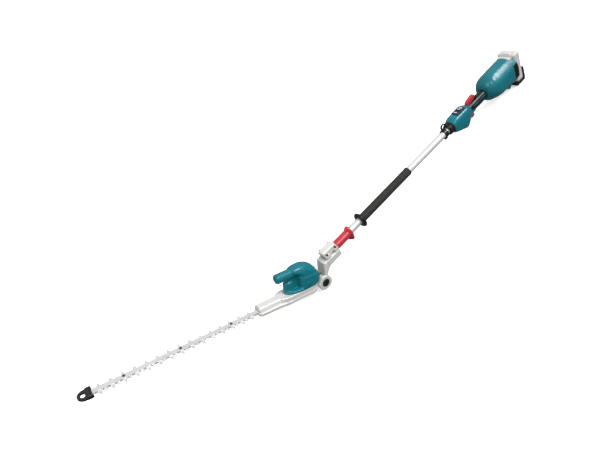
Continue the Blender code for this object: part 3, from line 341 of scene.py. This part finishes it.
def sleeve(stations, outer, inner, steps):
    """A ring-shaped solid along X. outer(x, turn) and inner(x) give its radii."""
    shape = bmesh.new()
    rings = []
    for outside, row in ((True, stations), (False, list(reversed(stations)))):
        for x in row:
            ring = []
            for i in range(steps):
                turn = 2 * pi * i / steps
                radius = outer(x, turn) if outside else inner(x)
                ring.append(shape.verts.new((x, radius * cos(turn), radius * sin(turn))))
            rings.append(ring)
    for first, second in zip(rings, rings[1:] + rings[:1]):
        for i in range(steps):
            shape.faces.new((first[i - 1], first[i], second[i], second[i - 1]))
    bmesh.ops.recalc_face_normals(shape, faces=shape.faces)
    return shape


def lofted(rings):
    """Rings of as many points each, joined in order and closed at both ends."""
    shape = bmesh.new()
    made = [[shape.verts.new(point) for point in ring] for ring in rings]
    for first, second in zip(made, made[1:]):
        for i in range(len(first)):
            shape.faces.new((first[i - 1], first[i], second[i], second[i - 1]))
    shape.faces.new(made[0])
    shape.faces.new(made[-1])
    bmesh.ops.recalc_face_normals(shape, faces=shape.faces)
    return shape


def rounded(points, radii, steps=5):
    """A closed outline with its corners eased, each by its own radius or all by one."""
    made = []
    for i, corner in enumerate(points):
        radius = radii[i] if isinstance(radii, (list, tuple)) else radii
        here = Vector(corner)
        before = Vector(points[i - 1]) - here
        after = Vector(points[(i + 1) % len(points)]) - here
        half = before.angle(after) / 2
        if not radius or half > 1.54:
            made.append(tuple(here))
            continue
        reach = min(radius / tan(half), 0.47 * before.length, 0.47 * after.length)
        start = here + before.normalized() * reach
        end = here + after.normalized() * reach
        for k in range(steps + 1):
            t = k / steps
            made.append(tuple((1 - t) ** 2 * start + 2 * t * (1 - t) * here + t * t * end))
    return made


def arc(centre, radius, start, end, steps):
    """Points along a circle, between two angles in degrees."""
    turns = [radians(start + (end - start) * i / steps) for i in range(steps + 1)]
    return [(centre[0] + radius * cos(turn), centre[1] + radius * sin(turn)) for turn in turns]


def stadium(middle, length, width, steps=10):
    """A round-ended slot's outline, long in its first direction."""
    reach = (length - width) / 2
    return (arc((middle[0] + reach, middle[1]), width / 2, -90, 90, steps)
            + arc((middle[0] - reach, middle[1]), width / 2, 90, 270, steps))


def steps_between(low, high, step):
    """Even places from low to high, about a step apart."""
    count = max(1, int(round((high - low) / step)))
    return [low + (high - low) * i / count for i in range(count + 1)]


def smooth_step(value, low, high):
    """0 below low, 1 above high, and an eased way between."""
    t = min(1.0, max(0.0, (value - low) / (high - low)))
    return t * t * (3 - 2 * t)


def hump(value, middle, spread):
    """1 at the middle, falling away on both sides."""
    return exp(-((value - middle) / spread) ** 2)


def followed(line, at):
    """The height of a line of (place, height) points at a place, level after its last point."""
    for (place0, height0), (place1, height1) in zip(line, line[1:]):
        if at <= place1:
            return height0 + (height1 - height0) * (at - place0) / (place1 - place0)
    return line[-1][1]


def squared(value, power):
    """A sine or cosine bent so that its circle turns into a superellipse of this power."""
    return abs(value) ** (2 / power) * (1 if value > 0 else -1)


def oval(turn, across, above, below):
    """The radius of an oval at an angle, with its own reach upward and downward."""
    reach = above if sin(turn) > 0 else below
    return 1.0 / sqrt((cos(turn) / across) ** 2 + (sin(turn) / reach) ** 2)


def piece(name, shape, place, look, body, stands_for=(), flat=True):
    """Puts a finished shape in the scene: it rides on a body and stands for its CAD nodes.

    flat is for shapes with flat faces, whose shading it keeps even.
    """
    shape.transform(place)
    mesh = bpy.data.meshes.new(name)
    shape.to_mesh(mesh)
    shape.free()
    mesh.shade_smooth()
    mesh.set_sharp_from_angle(angle=radians(SHARP_ANGLE))
    mesh.materials.append(FINISHES[look])
    obj = bpy.data.objects.new(name, mesh)
    bpy.context.scene.collection.objects.link(obj)
    if flat:
        weighted = obj.modifiers.new("even_faces", "WEIGHTED_NORMAL")
        weighted.keep_sharp = True
    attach(obj, body)
    if stands_for:
        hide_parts(*stands_for)
    return obj


def from_node(node, place):
    """A copy of a CAD node's mesh, in millimetres in the pole's or the head's frame."""
    shape = bmesh.new()
    shape.from_mesh(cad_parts[node].data)
    shape.transform(place.inverted())
    return shape


# ---- what stays as the CAD has it ----

def dress_cad_nodes():
    """Every CAD node gets its slot's finish, and its edges a fine break."""
    for name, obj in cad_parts.items():
        for spot in obj.material_slots:
            found = [slot for slot in BY_SLOT if spot.material and spot.material.name.startswith(slot)]
            if found:
                spot.material = BY_SLOT[found[0]]
        joined = obj.modifiers.new("joined", "WELD")
        joined.merge_threshold = WELDED
        eased = obj.modifiers.new("eased", "BEVEL")
        eased.width = EASED
        eased.segments = 2
        eased.limit_method = "ANGLE"
        eased.angle_limit = radians(EASED_ANGLE)


# ---- head ----

MOTOR_LOW, MOTOR_TOP = 16.3, 105.5
MOTOR_REAR = [(16.0, -24.0), (19.0, -23.5), (29.0, -13.6), (38.0, -14.5), (45.0, -17.0), (57.0, -23.0),
              (72.0, -31.5), (85.0, -42.0), (95.0, -54.0), (101.0, -67.0), (104.5, -84.0)]
MOTOR_FRONT = -104.0
MOTOR_CORNER = 9.0             # radius of the lower edge's rounding
MOTOR_HALF = (25.0, 33.0, 30.4)      # half widths at the joint, at the belt and over the crease
MOTOR_CREASE = (60.5, 65.0)
DOME_START = 66.0
BULK_STEPS = 72
BOOT_HEIGHT = 29.0             # of the cable boot's axis
VENTS, VENT_FIRST, VENT_STEP, VENT_SIZE = 3, (-84.0, 21.5), (3.5, 4.6), (25.0, 2.5)


def motor_half(z):
    """Half the housing's width at a height."""
    joint, belt, upper = MOTOR_HALF
    corner_top = MOTOR_LOW + MOTOR_CORNER
    if z < corner_top:
        return joint + (belt - joint) * sqrt(max(0.0, 1 - ((corner_top - z) / MOTOR_CORNER) ** 2))
    if z < DOME_START:
        return belt - (belt - upper) * smooth_step(z, *MOTOR_CREASE)
    climbed = (z - DOME_START) / (MOTOR_TOP - DOME_START + 0.3)
    return upper * max(0.004, 1 - climbed ** 2.5) ** (1 / 2.3)


def motor_bulk():
    """The housing's body: level sections from the joint with the gear case up to the dome."""
    rings = []
    for z in steps_between(MOTOR_LOW - 2, MOTOR_TOP, 2.2):
        half = motor_half(z)
        rear = followed(MOTOR_REAR, z)
        front = MOTOR_FRONT - 30.0 * smooth_step(z, 73, 91) + 22.0 * smooth_step(z, 96, 107)
        middle = (rear + front) / 2 + 6
        squareness = 5.0 - 2.4 * smooth_step(z, 72, 90)
        ring = []
        for i in range(BULK_STEPS):
            turn = 2 * pi * i / BULK_STEPS
            c, s = cos(turn), sin(turn)
            power, side_power = (2.25, 2.25) if c > 0 else (squareness, min(squareness, 3.4))
            reach = rear - middle if c > 0 else middle - front
            ring.append((middle + reach * squared(c, power), half * squared(s, side_power), z))
        rings.append(ring)
    return lofted(rings)


def egg(front, rear, half, power, steps=24):
    """Half of a pointed oval and its mirror, for the foot of the motor housing."""
    points = []
    for i in range(steps + 1):
        turn = pi * i / steps / 2
        points.append((rear - (rear - front) * cos(turn) ** (2 / power),
                       half * sin(turn) ** (2 / power)))
    return points + mirrored(points)


def mirrored(points):
    """The other side of an outline whose first point is on the middle line."""
    return [(x, -y) for x, y in reversed(points[1:])]


def motor_housing():
    """Both halves of the cover: one smooth body, split down the middle."""
    outline = egg(-157.5, -90.0, 30.5, 2.3)
    tail = [(-66.0, 30.5), (-48.0, 27.0), (-36.0, 19.0)]
    middle = len(outline) // 2 + 1
    outline = outline[:middle] + tail + [(x, -y) for x, y in reversed(tail)] + outline[middle:]
    lip = bevelled(prism(outline, MOTOR_LOW - 4, MOTOR_LOW + 8.5, "Z"), 3.5)
    column = bevelled(prism(egg(-157.5, -126.0, 13.5, 2.6), MOTOR_LOW - 4, 56, "Z"), 6.0, 5)
    neck = block((-144, -7, MOTOR_LOW), (-90, 7, 92), 3.0)
    snout = rounded([(-186, AXIS), (-186, 17), (-100, 17), (-100, AXIS)], [0, 8.5, 10, 0], 8)
    nose = turned(snout, 64, (0.0, 83.0))
    skin = blended(together(motor_bulk(), lip, column, neck, nose), 1.3, 12)
    for side, name in JOINTED:
        half = trimmed(skin.copy(), (0, side * GAP / 2, 0), (0, side, 0))
        half = hollowed(trimmed(half, (0, 0, MOTOR_LOW), (0, 0, 1)), 2.3)
        tools = []
        for i in range(VENTS):
            middle = [first + step * i for first, step in zip(VENT_FIRST, VENT_STEP)]
            tools.append(prism(stadium(middle, *VENT_SIZE), side * 20.0, side * 45.0))
        tools.append(rod(-60, 0, 7.9, 40, (0.0, BOOT_HEIGHT)))
        piece("motor_cover_" + name, cut(half, *tools), HEAD, "teal", "head",
              ["motor_housing_" + name], flat=False)
    skin.free()


def softened(name, node, place, look, body, voxel):
    """A CAD node's own shape with its edges and corners run together."""
    piece(name, blended(from_node(node, place), voxel, 5), place, look, body, [node], flat=False)


def tip_guard():
    """The nose at the bar's end, with its hanging hole."""
    tip, loop_end, half = -826, -801.5, 21
    outline = [(tip + 22 * (1 + x), half * y) for x, y in arc((0, 0), 1.0, 180, 90, 16)]
    outline += [(-791, half), (-784, 19.6), (-787.5, 13.5)]
    body = bevelled(prism(outline + mirrored(outline), -8.7, 5.0, "Z"), 3.2, 5)
    hole = prism([(-811.0 - y, x) for x, y in stadium((0, 0), 19, 12.5)], -20, 20, "Z")
    above = bevelled(block((-850, -40, 0.2), (loop_end, 40, 30)), 1.5, 3)
    below = bevelled(block((-850, -40, -30), (loop_end, 40, -5.6)), 1.5, 3)
    bar_seat = block((-800.3, -9.3, -4.7), (-770, 9.3, -0.4))
    blade_room = block((-802, -9.8, -12.3), (-770, 9.8, -2.2))
    piece("tip_nose", cut(body, above, below, hole, bar_seat, blade_room), HEAD, "black", "head",
          ["tip_guard"])


def cable_boot():
    """The ribbed boot, each rib narrower than the last."""
    ribs = []
    for i in range(4):
        x, narrowing = -23.6 + 2.9 * i, 0.7 * i
        for step, radius in ((0, 7.4), (1.7, 7.4), (1.9, 6.2), (2.7, 6.2)):
            ribs.append((x + step, radius - narrowing))
    profile = [(-24.0, AXIS)] + ribs + [(-12.0, 3.9), (-12.0, AXIS)]
    piece("lead_boot", turned(profile, 48, (0.0, BOOT_HEIGHT)), HEAD, "rubber", "head", ["cable_boot"])


# ---- pole ----

def lock_sleeve():
    """The red sleeve: ribbed along its length, flaring into finger lugs."""
    start, end = 110.0, 185.0
    collar_end, spring_room = start + 12, 2.05

    def outer(x, turn):
        rib = 0.5 + 0.5 * cos(12 * turn)
        body = 15.5 + 0.7 * smooth_step(rib, 0.35, 0.75) * smooth_step(x, start + 3, start + 8)
        body -= 1 - smooth_step(x, start, start + 2.5)
        flare = oval(turn, 18.6, 26.0, 26.0) + 8.5 * smooth_step(-sin(turn), 0.72, 0.99)
        web = smooth_step(abs(sin(turn)), 0.9, 1.0)
        rise = smooth_step(x, end - 13 - 16 * web, end - 6)
        tip = 1.0 - 0.05 * smooth_step(x, end - 1.8, end)
        return (body + (flare - body) * rise) * tip

    def inner(x):
        return BORE if x < collar_end else PIPE + spring_room

    stations = steps_between(start, collar_end - 0.1, 1.0) + steps_between(collar_end, end, 0.8)
    piece("angle_sleeve", sleeve(stations, outer, inner, 144), POLE, "red", "lock_sleeve",
          ["lock_sleeve"], flat=False)


def hand_guard():
    """The round disc in front of the grip, with a rolled rim."""
    rim = arc((242, 23), 6.0, 0, 180, 12)
    profile = [(248, BORE), (248, 18.4)] + rim + [(236, 18.0), (236, BORE)]
    piece("grip_guard", turned(profile), POLE, "rubber", "pole", ["hand_guard"], flat=False)


def front_grip():
    """The long foam grip, a little swollen between its end beads."""
    start, end = 248.3, 508.0

    def outer(x, turn):
        bead = 0.55 * (hump(x, start + 6, 3.2) + hump(x, end - 6, 3.2))
        waist = 0.35 * (hump(x, start + 13, 3.0) + hump(x, end - 13, 3.0))
        ease = 1.4 * (1 - smooth_step(x, start, start + 2.5)) + 1.4 * smooth_step(x, end - 2.5, end)
        return 15.85 + bead - waist - ease

    stations = (steps_between(start, start + 20, 0.8) + steps_between(start + 24, end - 24, 8)
                + steps_between(end - 20, end, 0.8))
    piece("front_foam", sleeve(stations, outer, lambda x: BORE, 96), POLE, "foam", "pole",
          ["front_grip"], flat=False)


def front_collar():
    """The rubber cuff in front of the control housing."""
    profile = [(738, BORE), (738, 18.2), (739, 19.2), (743, 21.9), (745, 22), (747.5, 20.8),
               (750, 20.5), (755, 23.0), (758.4, 24.7), (759.5, 24.2), (759.5, BORE)]
    piece("housing_collar", turned(profile), POLE, "rubber", "pole", ["front_collar"])


BELLY = [(760, -23.5), (792, -37.5), (816, -48.5), (825, -52.0), (831, -51.0), (846, -33.5),
         (853, -23.0), (893, -20.0)]
LEVER_ROOM, TRIGGER_ROOM = 7.2, 6.4      # half widths of the slots they move in


def control_section(x, inset=0.0, steps=96):
    """The control housing's section: a flat crown for the panel, full sides and a narrower belly."""
    top = 31.0 - 11.5 * smooth_step(x, 846, 872) - 9.5 * (1 - smooth_step(x, 752, 786)) ** 1.5 - inset
    bottom = followed(BELLY, x)
    half = 27.0 - 3.0 * (1 - smooth_step(x, 757, 778)) - 8.0 * smooth_step(x, 838, 878) - inset
    middle = 2.0
    ring = []
    for i in range(steps):
        turn = 2 * pi * i / steps
        c, s = cos(turn), sin(turn)
        power = 2.9 if s > 0 else 4.6
        up = (top - middle) if s > 0 else (middle - bottom - inset)
        ring.append((x, half * squared(c, power), middle + up * squared(s, power)))
    return ring


def other_half(side, start, end):
    """Everything across the joint face, with half the gap."""
    low, high = (-120, side * GAP / 2) if side > 0 else (side * GAP / 2, 120)
    return block((start, low, -140), (end, high, 140))


def control_housing():
    """The housing in front of the handle, in two halves, with tabs that run on beside the trigger."""
    body = lofted([control_section(x) for x in steps_between(760, 893, 2.2)])
    body = blended(body, 1.6, 6)
    handle_room = [(866.7, 60), (866.7, -1), (884, -7.5), (910, -7.5), (910, 60)]
    panel_room = (795.7, -15.3, 28.6), (842.3, 15.3, 50)
    for side, name in JOINTED:
        tools = [
            other_half(side, 700, 950),
            lofted([control_section(x, 3.2, 48) for x in steps_between(764, 862, 4.0)]),
            rod(740, 790, BORE),
            rod(855, 910, 15.3),
            block(*panel_room),
            prism(rounded(handle_room, [0, 6, 6, 0, 0], 6), -60, 60),
            block((860.5, -LEVER_ROOM, -5), (910, LEVER_ROOM, 60)),
            block((859, -TRIGGER_ROOM, -70), (910, TRIGGER_ROOM, 8)),
        ]
        piece("control_shell_" + name, cut(body.copy(), *tools), POLE, "teal", "pole",
              ["control_housing_" + name], flat=False)
    body.free()


def across(x, length, width):
    """A stadium that lies across the pole."""
    return [(b, a) for a, b in reversed(stadium((0, x), length, width))]


def panel():
    """The switch panel with its two keys, each with a pale bar across it."""
    keys = ((803.0, "power_button", "power_key"), (824.0, "reverse_button", "reverse_key"))
    reach, half, room = 5.0, 10.0, 0.4         # of a key along and across the pole, and round it
    plate = bevelled(block((796, -15, 28.3), (842, 15, 33.5)), 1.4, 4)
    tools = []
    for x, _, _ in keys:
        well = block((x - reach - room, -half - room, 0), (x + reach + room, half + room, 80))
        tools.append(bevelled(well, 1.5, 3))
    lens_room = block((831.8, -7.2, 0), (838.2, 7.2, 80))
    tools.append(lens_room)
    piece("switch_panel", cut(plate, *tools), POLE, "panel", "pole", ["control_panel"])
    for x, body, name in keys:
        cap = bevelled(block((x - reach, -half, 24), (x + reach, half, 35.5)), 1.3, 4)
        skirt = block((x - reach - 0.8, -half - 1.5, 22), (x + reach + 0.8, half + 1.5, 25))
        piece(name, join(cap, skirt), POLE, "panel", body, [body])
        mark = prism(across(x, 15.0, 4.4), 35.1, 35.9, "Z")
        piece(name + "_inlay", bevelled(mark, 0.3, 2), POLE, "pale", body)


# ---- handle ----

def finger_rooms():
    """The slots that the lever and the trigger move in."""
    return [block((860, -LEVER_ROOM, 0), (923.5, LEVER_ROOM, 40)),
            block((860, -TRIGGER_ROOM, -40), (902.6, TRIGGER_ROOM, 0))]


def handle():
    """Rubber over the top and underneath, with the teal core showing as a band each side."""
    start, top_start, end = 893.6, 867.0, 971.0
    band = (160.0, 171.0)      # the near band's angles; the far one mirrors it

    def in_band(turn):
        angle = turn * 180 / pi
        return any(band[0] <= a <= band[1] for a in (angle, (540.0 - angle) % 360.0))

    def core(x, turn):
        return oval(turn, 18.0, 18.0, 22.5) if in_band(turn) else 15.0

    shell = sleeve(steps_between(top_start, end, 1.5), core, lambda x: 11.5, 180)
    rooms = [block((860, -40, -40), (start - 0.2, 40, -6.8)),
             block((860, -40, -2.5), (start - 6, 40, 40))]
    piece("handle_core_band", cut(shell, *finger_rooms(), *rooms), POLE, "teal", "pole",
          ["handle_core"])

    def cover(x, turn):
        swell = 0.5 * hump(x, 925, 22.0)
        ease = 1.2 * (1 - smooth_step(x, top_start, top_start + 3))
        ease += 1.5 * smooth_step(x, end - 3, end)
        return oval(turn, 18.5, 18.5, 23.0) + swell - ease

    rubber = sleeve(steps_between(top_start, end, 1.2), cover, lambda x: 15.3, 240)
    gaps = []
    for side in (-1, 1):
        low, high = band[0] - 1.2, band[1] + 1.2
        corners = [(15.0, low), (28.0, low), (28.0, high), (15.0, high)]
        outline = [(r * cos(radians(a)) * side, r * sin(radians(a))) for r, a in corners]
        gaps.append(prism(outline, start - 50, end - 4, "X"))
    front_room = block((860, -40, -40), (start, 40, -6.8))
    piece("handle_rubber", cut(rubber, *gaps, *finger_rooms(), front_room), POLE, "rubber", "pole",
          ["handle_grip"])


LEVER_HINGE, TRIGGER_HINGE = (867.5, 17), (868, -17)


def moved(outline, by):
    return [(by[0] + x, by[1] + z) for x, z in outline]


def finger_controls():
    """The lock-off lever over the handle and the trigger under it, each from its hinge."""
    lever = rounded([(-3, -1), (0, -3.2), (3, -2.5), (24, 3.0), (39, 7.0), (45, 13.0), (46, 18.0),
                     (42, 22.5), (37, 22.5), (8, 17.5), (0, 13.0), (-3, 6.0)],
                    [1, 1, 2, 8, 4, 4, 3, 3, 4, 8, 4, 3], 4)
    lever = bevelled(prism(moved(lever, LEVER_HINGE), -6.5, 6.5), 2.2, 5)
    piece("lock_lever", lever, POLE, "red", "lock_off_lever", ["lock_off_lever"])
    finger = rounded([(-3.5, 3), (-3.5, -2), (0, -12), (3, -25), (6, -28), (20, -26.5), (23, -23),
                      (22, -10), (24, -5), (24, -1), (6, 4)], [1, 4, 12, 3, 3, 3, 3, 8, 3, 2, 4], 4)
    finger = bevelled(prism(moved(finger, TRIGGER_HINGE), -5.5, 5.5), 1.9, 5)
    piece("finger_trigger", finger, POLE, "red", "trigger", ["trigger"])


# ---- rear housing and battery ----

REAR_PROFILE = [(966.0, 18.0), (966.4, 21.0), (969.0, 31.0), (976.0, 39.5), (987.0, 46.0),
                (1003.0, 50.5), (1030.0, 53.5), (1091.0, 54.5), (1131.0, 54.0)]
REAR_FLAT = 49.0               # half the width over its flat sides
REAR_SHARP = 18.0              # how crisp its chamfers' edges are
REAR_RISE = 4.0
REAR_WALL = 3.0


def rear_section(x, inset=0.0, steps=120):
    """The rear housing's section: round in front, boxy behind, with flat sides and chamfered corners."""
    radius = followed(REAR_PROFILE, x) - inset
    flat = REAR_FLAT - inset
    boxy = smooth_step(x, 985, 1030)
    rise = REAR_RISE * smooth_step(x, 967, 1000)
    planes = [(0, flat), (180, flat)]
    planes += [(angle, radius * (1.08 - 0.135 * boxy)) for angle in (44, 136)]
    planes += [(angle, radius * (1.08 + 0.03 * boxy)) for angle in (222, 318)]
    ring = []
    for i in range(steps):
        turn = 2 * pi * i / steps
        round_reach = radius * (1.0 + 0.09 * boxy * (sin(turn) < 0))
        total = (1 / round_reach) ** REAR_SHARP
        total += (max(0.0, -sin(turn)) / radius) ** REAR_SHARP * boxy
        for angle, reach in planes:
            facing = cos(turn - radians(angle))
            if facing > 0.05:
                total += (facing / reach) ** REAR_SHARP
        size = min(total ** (-1 / REAR_SHARP) * 1.012, round_reach)
        ring.append((x, min(flat, max(-flat, size * cos(turn))), size * sin(turn) + rise))
    return ring


def rear_housing():
    """The rear housing: a dome that turns into a box with chamfered corners, in two halves."""
    body = lofted([rear_section(x) for x in [966.05, 966.4, 967.5] + steps_between(969, 1131, 3.0)])
    foot = rounded([(1070, -36), (1128, -36), (1131, -66), (1112, -80), (1103, -80)],
                   [0, 0, 5, 5, 6], 6)
    body = join(body, bevelled(prism(foot, -12, 12), 3, 4))
    for side, name in JOINTED:
        room = lofted([rear_section(x, REAR_WALL, 60) for x in steps_between(982, 1106, 5.0)])
        channel = block((1112, -28, -56), (1141, 28, 80))
        frame_room = block((1105, -60, -47), (1140, 60, 30))
        half = cut(body.copy(), other_half(side, 900, 1200), room, channel, rod(940, 971.5, 19.3),
                   frame_room)
        piece("rear_shell_" + name, half, POLE, "teal", "pole", ["rear_housing_" + name])
    for side, name in JOINTED:
        rim = combined(body.copy(), [block((1105.3, -60, -46.7), (1131.2, 60, 29.7))], "INTERSECT")
        room = lofted([rear_section(x, REAR_WALL, 60) for x in steps_between(1100, 1125.6, 5.0)])
        channel = block((1110, -28, -56), (1141, 28, 80))
        grooves = []
        for i in range(3):
            low, high = 1111.0 + 6.5 * i, 1113.2 + 6.5 * i
            outline = [(low, -60), (high, -60), (high, 60), (low, 60)]
            grooves.append(prism(outline, side * 48.0, side * 60.0))
        piece("rail_frame_" + name, cut(rim, other_half(side, 900, 1200), channel, room, *grooves),
              POLE, "black", "pole")
    body.free()


def battery():
    """The pack: a rounded box with a step round it and grip ribs on its sides."""
    case = block((1131.6, -37, -62), (1166, 37, 60), 6.5, 6)
    rail = block((1114, -27, -54), (1136, 27, 52), 1.5, 3)
    groove = cut(block((1142, -60, -80), (1143.4, 60, 80)),
                 block((1130, -36, -61), (1150, 36, 59), 5.5, 5))
    ribs = [block((1148, side * 36.2, z), (1163, side * 40, z + 2.0))
            for side in (-1, 1) for z in (34, 39, 44)]
    seat = block((1135.6, -14.6, 50), (1145.6, 14.6, 70))
    contact_room = block((1109, -13, -70), (1130, 13, -4))
    piece("battery_shell", cut(join(case, rail), groove, seat, contact_room, *ribs), POLE, "pale",
          "battery", ["battery_case", "battery_cells"])
    button = bevelled(block((1136, -14, 53.5), (1145.2, 14, 62.5)), 1.6, 4)
    piece("battery_latch", button, POLE, "pale", "battery_release", ["battery_release_button"])


def battery_guard():
    """The hoop that goes round under and behind the battery."""
    outline = [(1131.6, -64), (1131.6, -80), (1148, -94), (1194, -94), (1200, -86), (1199, -35),
               (1189.5, -35), (1188, -79), (1182, -82), (1157, -82), (1143, -66), (1142, -64)]
    radii = [0, 6, 6, 5, 5, 3, 3, 5, 5, 6, 5, 0]
    piece("rear_hoop", bevelled(prism(rounded(outline, radii, 5), -20, 20), 2.2, 4), POLE, "black",
          "pole", ["battery_guard"])


# ---- stage ----

ROOM = 60.0                    # metres from the middle to the floor's edge
SKY_LOW = (-0.6, 0.18)         # height in the sky, and its brightness there
SKY_HIGH = (0.75, 0.68)
WHITE = (1.0, 1.0, 1.0, 1.0)


def glowing(name, grey, roughness, gloss, glow):
    """A plain material that gives off some white light of its own."""
    made = bpy.data.materials.new(name)
    made.use_nodes = True
    shader = made.node_tree.nodes["Principled BSDF"]
    shader.inputs["Base Color"].default_value = (grey, grey, grey, 1.0)
    shader.inputs["Roughness"].default_value = roughness
    shader.inputs["Specular IOR Level"].default_value = gloss
    shader.inputs["Emission Color"].default_value = WHITE
    shader.inputs["Emission Strength"].default_value = glow
    return made


def surround(name, shape, material):
    """A surface round the object, kept out of its reflections and off its colours."""
    mesh = bpy.data.meshes.new(name)
    shape.to_mesh(mesh)
    shape.free()
    mesh.materials.append(material)
    made = bpy.data.objects.new(name, mesh)
    bpy.context.scene.collection.objects.link(made)
    made.visible_diffuse = False
    made.visible_glossy = False
    return made


def lit(name, data, direction, place=(0.0, 0.0, 0.0)):
    """A light whose rays come from a direction."""
    made = bpy.data.objects.new(name, data)
    made.location = place
    made.rotation_euler = Vector(direction).to_track_quat("Z", "Y").to_euler()
    bpy.context.scene.collection.objects.link(made)


def soft_sun(name, direction, energy, spread, gloss):
    """A sun as wide as spread degrees, and with its highlight's strength in gloss."""
    data = bpy.data.lights.new(name, "SUN")
    data.energy = energy
    data.angle = radians(spread)
    data.specular_factor = gloss
    lit(name, data, direction)


def stage():
    """The floor, a white backdrop, the sky and the lights."""
    shape = bmesh.new()
    bmesh.ops.create_grid(shape, x_segments=1, y_segments=1, size=ROOM)
    floor = surround("floor", shape, glowing("floor_pale", 0.93, 0.9, 0.1, 0.5))
    shape = bmesh.new()
    bmesh.ops.create_uvsphere(shape, u_segments=48, v_segments=24, radius=ROOM * 0.99)
    backdrop = surround("backdrop", shape, glowing("backdrop_white", 0.0, 0.5, 0.0, 1.0))
    backdrop.visible_shadow = False
    backdrop.visible_transmission = False
    sky()
    soft_sun("key", (0.62, -0.55, 0.75), 2.1, 20, 0.7)
    soft_sun("side", (-0.80, -0.22, 0.80), 0.6, 26, 0.8)
    strip = bpy.data.lights.new("strip", "AREA")
    strip.shape = "DISK"
    strip.size = 0.7
    strip.energy = 12.0
    strip_place, strip_target = Vector((-0.5, -1.5, 1.9)), Vector((-0.7, 0.0, 0.1))
    lit("strip", strip, strip_place - strip_target, strip_place)
    bpy.context.scene.view_settings.view_transform = "Standard"


def sky():
    """A plain white sky, brightest overhead and dimmest underfoot."""
    world = bpy.data.worlds.new("studio")
    world.use_nodes = True
    nodes = world.node_tree.nodes
    link = world.node_tree.links.new
    place = nodes.new("ShaderNodeTexCoord")
    split = nodes.new("ShaderNodeSeparateXYZ")
    fade = nodes.new("ShaderNodeMapRange")
    fade.interpolation_type = "SMOOTHSTEP"
    fade.inputs["From Min"].default_value = SKY_LOW[0]
    fade.inputs["From Max"].default_value = SKY_HIGH[0]
    fade.inputs["To Min"].default_value = SKY_LOW[1]
    fade.inputs["To Max"].default_value = SKY_HIGH[1]
    link(place.outputs["Generated"], split.inputs[0])
    link(split.outputs["Z"], fade.inputs["Value"])
    link(fade.outputs["Result"], nodes["Background"].inputs["Strength"])
    nodes["Background"].inputs["Color"].default_value = WHITE
    bpy.context.scene.world = world


CAMERA_SENSOR, CAMERA_LENS = 36.0, 28.79
CAMERA_PLACE = (-1.5053, -1.1521, 1.2168)
CAMERA_RIGHT = (0.68955, -0.57991, -0.43385)
CAMERA_DOWN = (-0.682, -0.31838, -0.65841)
CAMERA_AHEAD = (0.24369, 0.7499, -0.61504)


def camera():
    """The camera: focal length and place come from the object's known sizes in the view."""
    data = bpy.data.cameras.new("camera")
    data.sensor_width = CAMERA_SENSOR
    data.lens = CAMERA_LENS
    made = bpy.data.objects.new("camera", data)
    rows = zip(CAMERA_RIGHT, CAMERA_DOWN, CAMERA_AHEAD, CAMERA_PLACE)
    made.matrix_world = Matrix([(right, -down, -ahead, place) for right, down, ahead, place in rows]
                               + [(0, 0, 0, 1)])
    bpy.context.scene.collection.objects.link(made)
    bpy.context.scene.camera = made


camera()
dress_cad_nodes()
motor_housing()
softened("gear_casting", "gear_case", HEAD, "cast", "head", 1.0)
tip_guard()
cable_boot()
softened("pivot_casting", "pivot_arm", POLE, "cast", "pole", 1.0)
softened("clamp_casting", "pipe_clamp_cap", POLE, "cast", "pole", 0.8)
lock_sleeve()
hand_guard()
front_grip()
softened("strap_hanger", "hanger_clamp", POLE, "black", "hanger", 0.55)
front_collar()
control_housing()
panel()
handle()
finger_controls()
rear_housing()
battery()
battery_guard()
stage()
